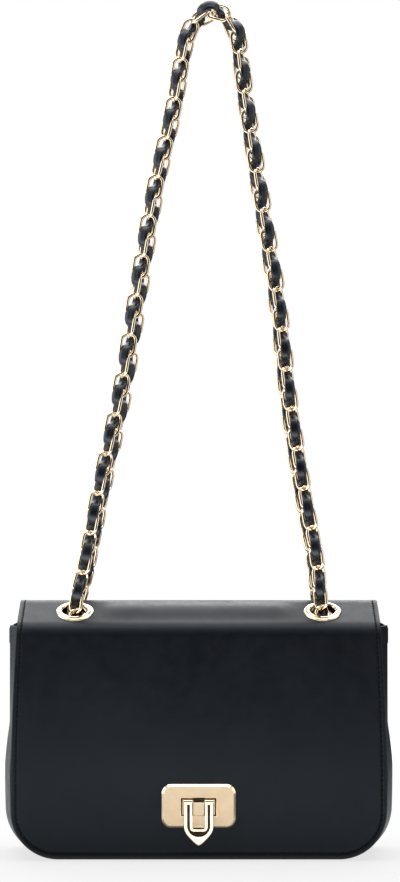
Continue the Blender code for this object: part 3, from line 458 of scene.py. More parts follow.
class Bench:
    """Blender's modelling tools, used on one piece at a time."""

    double = 0.000001

    @staticmethod
    def take(*pieces: Piece) -> None:
        """Select pieces and nothing else, and make the first one active.

        Args:
            pieces: one piece or more.
        """
        bpy.ops.object.select_all(action="DESELECT")
        for piece in pieces:
            piece.select_set(True)
        bpy.context.view_layer.objects.active = pieces[0]

    @staticmethod
    def add(name: str, operator: Callable[..., set], **settings: object) -> Piece:
        """Add a primitive and settle its place into its mesh.

        Args:
            name: the piece's name.
            operator: what adds it.
            settings: its size, place and turn.

        Returns:
            The piece, with its object at the origin.
        """
        bpy.ops.object.select_all(action="DESELECT")
        operator(**settings)
        piece = bpy.context.active_object
        piece.name = piece.data.name = name
        bpy.ops.object.transform_apply(location=True, rotation=True, scale=True)
        return piece

    @staticmethod
    def edit(piece: Piece, kind: str, test: Callable[..., bool], operator: Callable[..., set],
             **settings: object) -> Piece:
        """Use a tool of edit mode on some of a piece's vertices, edges or faces.

        Args:
            piece: the piece.
            kind: VERT, EDGE or FACE.
            test: takes a vertex's place, an edge's two places or a face, and says whether it is wanted.
            operator: the tool.
            settings: the tool's settings.

        Returns:
            The piece.
        """
        Bench.take(piece)
        bpy.ops.object.mode_set(mode="EDIT")
        bpy.ops.mesh.select_mode(type=kind)
        bpy.ops.mesh.select_all(action="DESELECT")
        bpy.ops.object.mode_set(mode="OBJECT")
        mesh = piece.data
        if kind == "VERT":
            for vertex in mesh.vertices:
                vertex.select = test(vertex.co)
        elif kind == "EDGE":
            for edge in mesh.edges:
                edge.select = test(*(mesh.vertices[index].co for index in edge.vertices))
        else:
            for polygon in mesh.polygons:
                polygon.select = test(polygon)
        bpy.ops.object.mode_set(mode="EDIT")
        operator(**settings)
        bpy.ops.object.mode_set(mode="OBJECT")
        return piece

    @staticmethod
    def outward(piece: Piece) -> Piece:
        """Merge a piece's doubled vertices and turn all its faces outwards.

        Args:
            piece: the piece.

        Returns:
            The piece.
        """
        Bench.take(piece)
        bpy.ops.object.mode_set(mode="EDIT")
        bpy.ops.mesh.select_all(action="SELECT")
        bpy.ops.mesh.remove_doubles(threshold=Bench.double)
        bpy.ops.mesh.normals_make_consistent(inside=False)
        bpy.ops.object.mode_set(mode="OBJECT")
        return piece

    @staticmethod
    def modify(piece: Piece, kind: str, **settings: object) -> Piece:
        """Add a modifier and apply it.

        Args:
            piece: the piece.
            kind: the modifier's type.
            settings: its settings.

        Returns:
            The piece.
        """
        Bench.take(piece)
        modifier = piece.modifiers.new(kind.title(), kind)
        for name, value in settings.items():
            setattr(modifier, name, value)
        bpy.ops.object.modifier_apply(modifier=modifier.name)
        return piece

    @staticmethod
    def combine(piece: Piece, other: Piece, operation: str = "DIFFERENCE") -> Piece:
        """Cut a piece with another or join them, and remove the other.

        Args:
            piece: the piece that stays.
            other: the piece that is used up.
            operation: DIFFERENCE or UNION.

        Returns:
            The piece that stays.
        """
        Bench.modify(piece, "BOOLEAN", object=other, operation=operation, solver="EXACT")
        bpy.data.objects.remove(other, do_unlink=True)
        return piece

    @staticmethod
    def box(name: str, low: Triple, high: Triple) -> Piece:
        """A box between its lowest and its highest corner, from a cube."""
        middle, size = zip(*(((a + b) / 2, b - a) for a, b in zip(low, high)))
        return Bench.add(name, bpy.ops.mesh.primitive_cube_add, size=1, location=middle, scale=size)

    @staticmethod
    def bar(name: str, start: Vector, end: Vector, radius: float, sides: int = 32) -> Piece:
        """A round bar between two points, from a cylinder with some sides."""
        turn = (end - start).to_track_quat("Z", "Y").to_euler()
        return Bench.add(name, bpy.ops.mesh.primitive_cylinder_add, vertices=sides, radius=radius,
                         depth=(end - start).length, location=(start + end) / 2, rotation=turn)

    @staticmethod
    def plate(name: str, outline: list[Pair], near: float, far: float) -> Piece:
        """A plate with an outline in x and z, drawn out in depth.

        Args:
            name: the piece's name.
            outline: its corners in order.
            near: depth of its front.
            far: depth of its back.

        Returns:
            The closed plate.
        """
        piece = Bench.add(name, bpy.ops.mesh.primitive_circle_add, vertices=len(outline), fill_type="NGON")
        for vertex, (x, z) in zip(piece.data.vertices, outline):
            vertex.co = (x, near, z)
        Bench.edit(piece, "FACE", lambda face: True, bpy.ops.mesh.extrude_region_move,
                   TRANSFORM_OT_translate={"value": (0, far - near, 0)})
        return Bench.outward(piece)

    @staticmethod
    def ring(name: str, profile: list[Pair], sides: int) -> Piece:
        """A ring turned about +Z from a closed profile of (radius, height) pairs, by spinning its outline.

        Args:
            name: the piece's name.
            profile: the section's corners in order.
            sides: faces round the ring.

        Returns:
            The closed ring.
        """
        piece = Bench.add(name, bpy.ops.mesh.primitive_circle_add, vertices=len(profile), fill_type="NOTHING")
        for vertex, (radius, height) in zip(piece.data.vertices, profile):
            vertex.co = (radius, 0.0, height)
        Bench.edit(piece, "EDGE", lambda a, b: True, bpy.ops.mesh.spin, steps=sides, angle=FULL_TURN,
                   center=(0, 0, 0), axis=(0, 0, 1))
        return Bench.outward(piece)

    @staticmethod
    def drawn_out(piece: Piece, stretch: float) -> Piece:
        """Draw a round piece's two halves apart along x, each by a stretch."""
        for sign in (-1, 1):
            Bench.edit(piece, "VERT", lambda place, sign=sign: place.x * sign > Bench.double,
                       bpy.ops.transform.translate, value=(sign * stretch, 0, 0))
        return piece

    @staticmethod
    def soften(piece: Piece, width: float, segments: int = 2, angle: float = 40.0) -> Piece:
        """Round the edges of a piece that are sharper than an angle."""
        return Bench.modify(piece, "BEVEL", width=width, segments=segments, limit_method="ANGLE",
                            angle_limit=math.radians(angle))

    @staticmethod
    def shade(piece: Piece, angle: float) -> Piece:
        """Shade a piece smooth, with edges sharper than an angle kept.

        Args:
            piece: the piece.
            angle: the angle in degrees.

        Returns:
            The piece.
        """
        Bench.take(piece)
        bpy.ops.object.shade_smooth_by_angle(angle=math.radians(angle))
        return piece

    @staticmethod
    def flatten(piece: Piece, angle: float) -> Piece:
        """Shade a piece smooth with its flat faces kept flat beside their rounded edges."""
        return Bench.modify(Bench.shade(piece, angle), "WEIGHTED_NORMAL", weight=100, keep_sharp=True)

    @staticmethod
    def joined(name: str, pieces: list[Piece]) -> Piece:
        """Join pieces into one.

        Args:
            name: its name.
            pieces: two pieces or more.

        Returns:
            The first piece with the others in it.
        """
        Bench.take(*pieces)
        bpy.ops.object.join()
        pieces[0].name = pieces[0].data.name = name
        return pieces[0]

    @staticmethod
    def copied(piece: Piece, name: str, place: Matrix) -> Piece:
        """A copy of a piece with its own mesh, put in a place.

        Args:
            piece: what is copied.
            name: the copy's name.
            place: where its mesh goes.

        Returns:
            The copy.
        """
        made = piece.copy()
        made.data = piece.data.copy()
        made.name = made.data.name = name
        made.data.transform(place)
        bpy.context.scene.collection.objects.link(made)
        return made

    @staticmethod
    def drop(piece: Piece) -> None:
        """Remove a pattern piece that isn't needed any more."""
        bpy.data.objects.remove(piece, do_unlink=True)

    @staticmethod
    def dress(piece: Piece, *finishes: Material | None) -> Piece:
        """Put finishes on a piece.

        Args:
            piece: the piece.
            finishes: its materials, in slot order.

        Returns:
            The piece.
        """
        piece.data.materials.clear()
        for finish in finishes:
            piece.data.materials.append(finish)
        return piece


@dataclass
class BagShape:
    """The bag's sizes that more than one of its parts follow, and its curves."""

    gap: float = 0.3 * MM
    leather: float = 1.6 * MM
    lining: float = 0.8 * MM
    height: float = 162.5 * MM
    panel_width: float = 239.2 * MM
    panel_top_width: float = 238.4 * MM
    front_top_width: float = 230.2 * MM
    base_width_loss: float = 2.0 * MM
    back_flare: float = 4.2 * MM
    corner_radius: float = 30.0 * MM
    gusset_front: float = 138.0 * MM
    gusset_rear: float = 139.5 * MM
    side_bulge: float = 3.1 * MM
    side_fold: float = 7.0 * MM
    top_width: float = 229.0 * MM
    crown_radius: float = 14.0 * MM
    band_length: float = 24.5 * MM
    eyelet_along: float = 12.0 * MM
    band_slope: float = math.radians(26.0)
    shoulder_radius: float = 12.0 * MM
    shoulder_end_slope: float = math.radians(86.0)
    half_depth: float = 38.0 * MM
    knee: float = 56.0 * MM
    flap_width: float = 237.4 * MM
    flap_corner: float = 29.0 * MM
    flap_hem: float = 1.5 * MM
    base_plate: float = 1.2 * MM
    lean_power: float = 1.9
    flare_power: float = 1.5
    origin: Vector = field(default_factory=Vector)

    def __post_init__(self) -> None:
        """Find the bag's place and depths from the frame."""
        low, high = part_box("flap")
        base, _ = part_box("gusset")
        self.origin = Vector(((low.x + high.x) / 2, 0.0, base.z))
        layers = self.leather + self.gap + self.lining + self.gap + self.base_plate + self.gap
        self.front_face = -self.half_depth + layers
        self.shoulder_y, self.shoulder_z = self.shoulder(1.0)

    def band(self, along: float) -> Pair:
        """Depth and height of the flat band in front, a length down from the crown."""
        sin, cos = math.sin(self.band_slope), math.cos(self.band_slope)
        return (-(self.crown_radius * sin + along * cos),
                self.height - self.crown_radius * (1 - cos) - along * sin)

    def shoulder(self, share: float) -> Pair:
        """A point of the shoulder's arc in front.

        Args:
            share: from the band at 0 to the arc's end at 1.

        Returns:
            Its depth and height.
        """
        y, z = self.band(self.band_length)
        slope = self.band_slope + (self.shoulder_end_slope - self.band_slope) * share
        out = self.shoulder_radius * (math.sin(slope) - math.sin(self.band_slope))
        down = self.shoulder_radius * (math.cos(self.band_slope) - math.cos(slope))
        return y - out, z - down

    def face(self, z: float, knee_y: float, top_y: float) -> float:
        """Depth of an upright face that leans in above its knee, in a soft curve."""
        rise = max(z - self.knee, 0.0) / (self.shoulder_z - self.knee)
        return knee_y + (top_y - knee_y) * rise ** self.lean_power

    def front_y(self, z: float) -> float:
        """Outer depth of the front panel."""
        return self.face(z, self.front_face, self.shoulder_y + self.half_depth + self.front_face)

    def back_y(self, z: float) -> float:
        """Outer depth of the back panel."""
        return -self.face(z, -self.half_depth, self.shoulder_y)

    def body_half(self, z: float, across: float = 0.0) -> float:
        """Half the body's width, without its round corners.

        Args:
            z: the height.
            across: from the front at 0 to the back at 1.

        Returns:
            The half width.
        """
        flare = self.back_flare * across
        widest = self.panel_width / 2 + flare
        if z < self.knee:
            return widest - self.base_width_loss * (1 - z / self.knee) ** 2
        top = (self.front_top_width + (self.panel_top_width - self.front_top_width) * across) / 2 + flare
        return widest + (top - widest) * (z - self.knee) / (self.gusset_rear - self.knee)

    def flap_half(self, z: float) -> float:
        """Half the width of the flap and the top at a height, without the flap's round corners."""
        rise = max(z - self.knee, 0.0) / (self.height - self.knee)
        return self.flap_width / 2 + (self.top_width - self.flap_width) / 2 * rise ** self.flare_power

    def eyelet(self, side: Side, face: Face, spacing: float) -> Matrix:
        """Where an eyelet lies.

        Args:
            side: left or right.
            face: front or back.
            spacing: from the left eyelets to the right ones.

        Returns:
            A matrix that takes +Z to the eyelet's outward axis.
        """
        y, z = self.band(self.eyelet_along)
        centre = Vector((side.value * spacing / 2, -face.value * y, z))
        axis = Vector((0, face.value * math.sin(self.band_slope), math.cos(self.band_slope)))
        return Matrix.Translation(centre) @ Vector((0, 0, 1)).rotation_difference(axis).to_matrix().to_4x4()

    def settle(self, piece: Piece) -> Piece:
        """Move a piece that is drawn in the bag's frame to its place in the part's frame."""
        piece.data.transform(Matrix.Translation(self.origin))
        return piece

    def place(self, piece: Piece, body: Body, slot: Slot, node: str = "") -> None:
        """Settle a piece and hand it over to the body and the node that it belongs to."""
        hand_over(self.settle(piece), body, slot, node)


class Line:
    """A smooth line of (y, z) points that a sheet is bent to, measured along its length."""

    def __init__(self, points: list[Pair]) -> None:
        """Measure the line.

        Args:
            points: its points, close together.
        """
        self.points = [Vector(point) for point in points]
        self.lengths = lengths_along(self.points)
        self.length = self.lengths[-1]

    def at(self, length: float) -> tuple[Vector, Vector]:
        """Find a point of the line.

        Args:
            length: how far along it lies.

        Returns:
            Its place and its outward direction, both as (y, z).
        """
        index, share = step_at(self.lengths, min(max(length, 0.0), self.length))
        last = len(self.points) - 1
        tangents = [(self.points[min(near + 1, last)] - self.points[max(near - 1, 0)]).normalized()
                    for near in (index, index + 1)]
        along = tangents[0].lerp(tangents[1], share).normalized()
        return self.points[index].lerp(self.points[index + 1], share), Vector((-along.y, along.x))


class Outline:
    """The edge of a flat cut that is the same left and right, with its lower and upper corners rounded."""

    step = 1.0 * MM
    tiny = 1e-6
    least_arc = 3

    def __init__(self, half_width: Callable[[float], float], length: float, low_radius: float,
                 high_radius: float) -> None:
        """Draw the right half of the edge.

        Args:
            half_width: half the width at a length up the cut.
            length: the cut's whole length.
            low_radius: radius of the corners at its start.
            high_radius: radius of the corners at its end.
        """
        points = [Vector((0.0, 0.0))]
        low_half = half_width(low_radius)
        self.add_run(points, Vector((low_half - low_radius, 0.0)))
        low_mark = self.add_arc(points, Vector((low_half - low_radius, low_radius)), low_radius, -math.pi / 2)
        count = max(int((length - low_radius - high_radius) / self.step), 2)
        for index in range(1, count):
            up = low_radius + (length - low_radius - high_radius) * index / count
            points.append(Vector((half_width(up), up)))
        top = length - high_radius
        high_half = half_width(top)
        points.append(Vector((high_half, top)))
        high_mark = self.add_arc(points, Vector((high_half - high_radius, top)), high_radius, 0.0)
        self.add_run(points, Vector((0.0, length)))
        self.right = Line([tuple(point) for point in points])
        self.low_mark, self.high_mark = self.right.lengths[low_mark], self.right.lengths[high_mark]

    def add_run(self, points: list[Vector], end: Vector) -> None:
        """Add a straight run to a list of points.

        Args:
            points: the list.
            end: where the run ends.
        """
        start = points[-1]
        count = max(int((end - start).length / self.step), 1)
        points += [start.lerp(end, index / count) for index in range(1, count + 1)]

    def add_arc(self, points: list[Vector], centre: Vector, radius: float, start: float) -> int:
        """Add a quarter turn to a list of points.

        Args:
            points: the list.
            centre: the turn's middle.
            radius: its radius.
            start: the angle at which it starts.

        Returns:
            The index of the arc's middle point in the list.
        """
        half = max(int(radius * math.pi / 4 / self.step), self.least_arc)
        first = len(points)
        for index in range(1, 2 * half + 1):
            angle = start + math.pi / 2 * index / (2 * half)
            points.append(centre + radius * Vector((math.cos(angle), math.sin(angle))))
        return first + half - 1

    def inside(self, length: float, inset: float) -> Vector:
        """A point of the right half, an inset in from the edge."""
        place, left = self.right.at(length)
        return place + left * inset

    def around(self, u: float, v: float, inset: float) -> Vector:
        """A point of the whole edge, by its place on the rim of a unit square.

        Args:
            u: across, from 0 at the left to 1 at the right.
            v: up, from 0 at the start to 1 at the end.
            inset: distance in from the edge.

        Returns:
            The point on the flat cut.
        """
        end = self.right.length
        if v < self.tiny:
            length = abs(2 * u - 1) * self.low_mark
        elif v > 1 - self.tiny:
            length = end - abs(2 * u - 1) * (end - self.high_mark)
        else:
            length = self.low_mark + (self.high_mark - self.low_mark) * v
        point = self.inside(length, inset)
        return point if u >= 0.5 else Vector((-point.x, point.y))


@dataclass
class Sheet:
    """A flat cut of leather or cloth bent to a line, with a groove or other relief along its edge."""

    name: str
    line: Line
    outline: Outline
    thickness: float
    columns: int
    rows: int
    rings: tuple[Pair, ...] = ()
    relief: Callable[[float, float], Vector] | None = None
    edge_steps: int = 3
    edge_angle: float = 50.0
    seam_step: float = 0.4 * MM

    def point(self, flat: Vector, lift: float = 0.0) -> Vector:
        """A point of the bent sheet.

        Args:
            flat: the place on the flat cut.
            lift: height over the outer face.

        Returns:
            The place in the bag's frame.
        """
        place, out = self.line.at(flat.y)
        point = Vector((flat.x, place.x + out.x * lift, place.y + out.y * lift))
        return point + self.relief(flat.x, flat.y) if self.relief else point

    def normal(self, flat: Vector) -> Vector:
        """Outward direction of the bent sheet."""
        _, out = self.line.at(flat.y)
        return Vector((0.0, out.x, out.y))

    def skin(self, name: str, rings: tuple[Pair, ...], inner: float, slot: int) -> Piece:
        """Bend a grid to one face of the sheet.

        Args:
            name: the grid's name.
            rings: insets from the edge with the height at each.
            inner: height of the face within the rings.
            slot: material slot of the face; the rounded edge gets the second one.

        Returns:
            The open grid.
        """
        piece = Bench.add(name, bpy.ops.mesh.primitive_grid_add, x_subdivisions=self.columns,
                          y_subdivisions=self.rows, size=2)
        Bench.dress(piece, None, None, None)
        vertices = piece.data.vertices
        columns = sum(1 for vertex in vertices if vertex.co.y < Outline.tiny - 1) - 1
        rows = len(vertices) // (columns + 1) - 1
        depths = []
        for vertex in vertices:
            u, v = (vertex.co.x + 1) / 2, (vertex.co.y + 1) / 2
            depth = round(min(u * columns, (1 - u) * columns, v * rows, (1 - v) * rows))
            ring = min(depth, len(rings) - 1)
            inset, lift = rings[ring]
            u, v = (clamped((value - ring / count) / (1 - 2 * ring / count))
                    for value, count in ((u, columns), (v, rows)))
            flat = self.outline.around(u, v, inset) if depth <= ring else self.fill(u, v, inset)
            vertex.co = self.point(flat, lift if depth <= ring else inner)
            depths.append(depth)
        for polygon in piece.data.polygons:
            outermost = max(depths[index] for index in polygon.vertices)
            polygon.material_index = 1 if outermost <= self.edge_steps else slot
        return piece

    def fill(self, u: float, v: float, inset: float) -> Vector:
        """A place on the flat cut within the last ring, carried smoothly over from its four sides.

        Args:
            u: across, from 0 to 1.
            v: up, from 0 to 1.
            inset: the last ring's distance from the edge.

        Returns:
            The place.
        """
        low, high = self.outline.around(u, 0, inset), self.outline.around(u, 1, inset)
        left, right = self.outline.around(0, v, inset), self.outline.around(1, v, inset)
        place = low * (1 - v) + high * v + left * (1 - u) + right * u
        for a, b in ((0, 0), (1, 0), (0, 1), (1, 1)):
            place -= self.outline.around(a, b, inset) * ((u if a else 1 - u) * (v if b else 1 - v))
        return place

    def build(self) -> Piece:
        """Bend two grids to the sheet's faces and close them along a rounded edge.

        Returns:
            The closed sheet: outer face, edge and inner face in three material slots.
        """
        half = self.thickness / 2
        turns = [math.pi / 2 * step / self.edge_steps for step in range(self.edge_steps + 1)]
        front = [(half * (1 - math.cos(turn)), half * (math.sin(turn) - 1)) for turn in turns]
        back = [(inset, -self.thickness - lift) for inset, lift in front]
        settled = [(inset, -self.thickness) for inset, _ in self.rings]
        face = self.skin(self.name, (*front, *self.rings), 0.0, 0)
        reverse = self.skin("reverse", (*back, *settled), -self.thickness, 2)
        return Bench.shade(Bench.outward(Bench.joined(self.name, [face, reverse])), self.edge_angle)

    def seam(self, inset: float, start: float = 0.0) -> "Path":
        """A path along the right half of the edge.

        Args:
            inset: distance in from the edge.
            start: share of the right half's length where it starts.

        Returns:
            The path in the bag's frame.
        """
        length, share = self.outline.right.length, 1 - start
        count = int(length * share / self.seam_step)
        flats = [self.outline.inside(length * (start + share * i / count), inset) for i in range(count + 1)]
        return Path([self.point(flat) for flat in flats], [self.normal(flat) for flat in flats])


class Path:
    """Points in space with an outward direction at each."""

    def __init__(self, points: list[Vector], normals: list[Vector]) -> None:
        """Measure the path.

        Args:
            points: its points, close together.
            normals: the outward direction at each.
        """
        self.points = points
        self.normals = normals
        self.lengths = lengths_along(points)
        self.length = self.lengths[-1]

    def at(self, length: float) -> tuple[Vector, Vector]:
        """Place and outward direction at a length."""
        low, share = step_at(self.lengths, length)
        return tuple(row[low].lerp(row[low + 1], share) for row in (self.points, self.normals))

    def mirrored(self) -> "Path":
        """The same path on the other side of the bag's middle."""
        return Path(*([Vector((-v.x, v.y, v.z)) for v in row] for row in (self.points, self.normals)))


@dataclass
class Stitches:
    """A row of lockstitches in thread, each a small capsule sunk a little in its groove."""

    finish: Material
    pitch: float = 3.1 * MM
    length: float = 2.5 * MM
    radius: float = 0.44 * MM
    lift: float = -0.16 * MM
    sides: int = 6
    bands: int = 5
    round_angle: float = 80.0

    def template(self) -> Piece:
        """One stitch along +X, from a sphere drawn out between its halves.

        Returns:
            The stitch that the rows are made of.
        """
        ball = Bench.add("stitch", bpy.ops.mesh.primitive_uv_sphere_add, segments=self.sides,
                         ring_count=self.bands, radius=self.radius, rotation=(0, math.pi / 2, 0))
        stitch = Bench.drawn_out(ball, self.length / 2 - self.radius)
        return Bench.dress(Bench.shade(stitch, self.round_angle), self.finish)

    def sew(self, name: str, paths: list[Path]) -> Piece:
        """Sew along paths.

        Args:
            name: the row's name.
            paths: where the stitches go.

        Returns:
            All the stitches as one object.
        """
        pattern = self.template()
        made = []
        for path in paths:
            count = max(int(path.length / self.pitch), 1)
            for index in range(count):
                along = (index + 0.5) * (path.length / count)
                start, _ = path.at(along - self.length / 2)
                end, _ = path.at(along + self.length / 2)
                middle, out = path.at(along)
                forward = (end - start).normalized()
                side = out.cross(forward).normalized()
                up = forward.cross(side)
                turn = Matrix((forward, side, up)).transposed().to_4x4()
                place = Matrix.Translation((start + end + middle * 2) / 4 + up * self.lift) @ turn
                made.append(Bench.copied(pattern, f"{name}_{len(made)}", place))
        Bench.drop(pattern)
        return Bench.joined(name, made)


@dataclass
class Shell:
    """The bag's leather: flap and top in one cut, back, front and gusset, all sewn."""

    shape: BagShape
    finishes: Finishes
    skin: float = 1.4 * MM
    back_depth: float = 0.9 * MM
    overlap_lift: float = 0.5 * MM
    overlap_end: float = 127.0 * MM
    seam_inset: float = 3.0 * MM
    groove: float = 0.45 * MM
    groove_steps: tuple[Triple, ...] = (
        (-1.8, 0.12, 0.0), (-0.8, 0.0, 0.0), (-0.4, 0.0, 0.55), (0.0, 0.0, 1.0), (0.4, 0.0, 0.55),
        (0.8, 0.0, 0.0), (1.8, 0.04, 0.0), (3.5, 0.0, 0.0),
    )
    lap_corner: float = 7.0 * MM
    mouth: float = 140.0 * MM
    mouth_corner: float = 3.0 * MM
    back_height: float = 139.5 * MM
    tuck_share: float = 0.5
    tuck_start: float = 124.0 * MM
    tuck_length: float = 5.0 * MM
    ear_drop: float = 3.0 * MM
    ear_length: float = 8.0 * MM
    ear_proud: float = 0.6 * MM
    wave: float = 0.35 * MM
    wave_length: float = 150 * MM
    wave_lean: float = 0.4
    cross_lean: Pair = (0.7, 0.3)
    cross_start: float = 0.9
    step: float = 1.0 * MM
    arc_steps: int = 14
    band_steps: int = 20
    crown_steps: int = 12
    flap_grid: tuple[int, int] = (110, 210)
    panel_grid: tuple[int, int] = (90, 90)
    puff: float = 2.0 * MM
    puff_length: float = 31.0 * MM
    puff_half: float = 66.0 * MM
    puff_fade: float = 20.0 * MM
    crown: float = 0.0
    hole_reach: float = 6.0 * MM
    hole_sides: int = 64
    back_seam_start: float = 0.33
    bend_start: float = 0.2 * MM
    bend_reach: Triple = (0.0, -0.0100, -0.0060)

    def rings(self) -> tuple[Pair, ...]:
        """Insets from the edge with the height at each, for the stitch groove."""
        return tuple((self.seam_inset + inset * MM, lift * MM - self.groove * share)
                     for inset, lift, share in self.groove_steps)

    def relief(self, x: float, length: float) -> Vector:
        """Slow waves in the leather, as in hide that is held by its seams only, and its puff at the crown.

        Args:
            x: the place across the cut.
            length: the place along it.

        Returns:
            How far the leather moves there.
        """
        turn = FULL_TURN / self.wave_length
        up, across = self.cross_lean
        wave = math.sin(turn * (x + self.wave_lean * length))
        wave *= math.cos(turn * (up * length - across * x) + self.cross_start)
        away = abs(length - self.crown) / self.puff_length
        puff = self.puff * eased((self.puff_half - abs(x)) / self.puff_fade)
        puff *= math.sin(math.pi * min(away, 1.0)) ** 2
        slope = math.copysign(self.shape.band_slope, length - self.crown)
        return Vector((0.0, wave * self.wave + puff * math.sin(slope), puff * math.cos(slope)))

    def top_line(self) -> Line:
        """Trace the flap and the top: up the front, over the crown and down to the seam on the back.

        Returns:
            The line.
        """
        shape = self.shape
        points = []
        z = shape.flap_hem
        while z < shape.shoulder_z - self.step / 2:
            points.append((shape.face(z, -shape.half_depth, shape.shoulder_y), z))
            z += self.step
        points += [shape.shoulder(1 - index / self.arc_steps) for index in range(self.arc_steps)]
        for index in range(self.band_steps):
            points.append(shape.band(shape.band_length * (1 - index / self.band_steps)))
        for index in range(-self.crown_steps, self.crown_steps + 1):
            slope = shape.band_slope * index / self.crown_steps
            points.append((shape.crown_radius * math.sin(slope),
                           shape.height - shape.crown_radius * (1 - math.cos(slope))))
        for index in range(1, self.band_steps + 1):
            y, z = shape.band(shape.band_length * index / self.band_steps)
            points.append((-y + self.overlap_lift * index / self.band_steps, z))
        for index in range(1, self.arc_steps + 1):
            y, z = shape.shoulder(index / self.arc_steps)
            points.append((-y + self.overlap_lift, z))
        z = shape.shoulder_z - self.step
        while z > self.overlap_end:
            points.append((shape.back_y(z) + self.overlap_lift, z))
            z -= self.step
        return Line(points)

    def flap_and_top(self) -> Sheet:
        """Cut the leather that is the flap, the top and its lap over the back.

        Returns:
            The sheet.
        """
        shape = self.shape
        line = self.top_line()
        self.crown = line.lengths[min(range(len(line.points)), key=lambda index: abs(line.points[index].x))]
        ear_start = self.crown + shape.crown_radius * shape.band_slope + shape.band_length

        def half(length: float) -> float:
            """Half the cut's width at a length, wider in the ears that lap over the back's sides."""
            z = line.at(length)[0].y
            share = eased((length - ear_start - self.ear_drop) / self.ear_length)
            return shape.flap_half(z) * (1 - share) + (shape.body_half(z, 1.0) + self.ear_proud) * share

        outline = Outline(half, line.length, shape.flap_corner, self.lap_corner)
        return Sheet("flap_leather", line, outline, self.skin, *self.flap_grid, self.rings(), self.relief)

    def back(self) -> Sheet:
        """Cut the back panel, which is tucked under the lap of the top.

        Returns:
            The sheet.
        """
        shape = self.shape
        points = []
        z = 0.0
        while z < self.back_height:
            tuck = self.skin * clamped((z - self.tuck_start) / self.tuck_length) * self.tuck_share
            points.append((shape.back_y(z) - self.back_depth - tuck, z))
            z += self.step
        line = Line(points[::-1])
        outline = Outline(lambda length: shape.body_half(line.at(length)[0].y, 1.0), line.length,
                          self.lap_corner, shape.corner_radius)
        return Sheet("back_leather", line, outline, self.skin, *self.panel_grid, self.rings())

    def front(self) -> Sheet:
        """Cut the front panel, which ends under the flap at the mouth's sill.

        Returns:
            The sheet.
        """
        shape = self.shape
        count = int(self.mouth / self.step)
        heights = [self.mouth * index / count for index in range(count + 1)]
        line = Line([(shape.front_y(z), z) for z in heights])
        outline = Outline(lambda length: shape.body_half(line.at(length)[0].y), line.length,
                          shape.corner_radius, self.mouth_corner)
        return Sheet("front_leather", line, outline, self.skin, *self.panel_grid, self.rings()[:2])

    def bend(self, piece: Piece) -> Piece:
        """Bake a piece's place into its mesh; the hinge's ends are found, but nothing is bent there.

        Args:
            piece: the piece, in its place.

        Returns:
            The piece.
        """
        y, z = self.shape.band(self.shape.band_length + self.bend_start)
        start = self.shape.origin + Vector((0.0, y, z))
        end = start + Vector(self.bend_reach)
        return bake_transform(piece)

    def holes(self, piece: Piece, hardware: "EyeletSet", lock: "FlipLock") -> None:
        """Cut the eyelets' holes and the lock's window in the flap and top.

        Args:
            piece: the leather.
            hardware: the eyelets.
            lock: the lock.
        """
        radius = hardware.bore / 2 + hardware.wall + self.shape.gap
        for side in Side:
            for face in Face:
                place = self.shape.eyelet(side, face, hardware.spacing)
                ends = [place @ Vector((0, 0, reach)) for reach in (-self.hole_reach, self.hole_reach)]
                Bench.combine(piece, Bench.bar("eyelet_hole", *ends, radius, self.hole_sides))
        Bench.combine(piece, lock.window_cutter(self.shape.gap))

    def sewn(self, name: str, sheet: Sheet, start: float = 0.0) -> Piece:
        """Stitches along both sides of a sheet, from a share of their length, in their place."""
        right = sheet.seam(self.seam_inset, start)
        return self.shape.settle(Stitches(self.finishes.thread).sew(name, [right, right.mirrored()]))

    def build(self, hardware: "EyeletSet", lock: "FlipLock") -> None:
        """Cut, bend and sew the shell.

        Args:
            hardware: the eyelets that it has holes for.
            lock: the lock that it has windows for.
        """
        shape, finishes = self.shape, self.finishes
        skins = (finishes.leather, finishes.edge, finishes.suede)
        flap = self.flap_and_top()
        piece = flap.build()
        self.holes(piece, hardware, lock)
        stand_in(self.bend(shape.settle(Bench.dress(piece, *skins))), Slot.LEATHER, "flap")
        log.info("flap and top: %d faces", len(piece.data.polygons))
        stand_in(self.bend(self.sewn("flap_stitches", flap)), Slot.LEATHER)
        back = self.back()
        shape.place(Bench.dress(back.build(), *skins), Body.BAG, Slot.LEATHER, "back_and_top_panel")
        hand_over(self.sewn("back_stitches", back, self.back_seam_start), Body.BAG, Slot.LEATHER)
        front = self.front()
        piece = Bench.combine(front.build(), lock.window_cutter(shape.gap))
        shape.place(Bench.dress(piece, *skins), Body.BAG, Slot.LEATHER, "front_panel")
        hand_over(self.sewn("front_stitches", front), Body.BAG, Slot.LEATHER)
        log.info("back and front panels sewn")
        Gusset(shape, finishes, skin=self.skin, back_depth=self.back_depth).build()


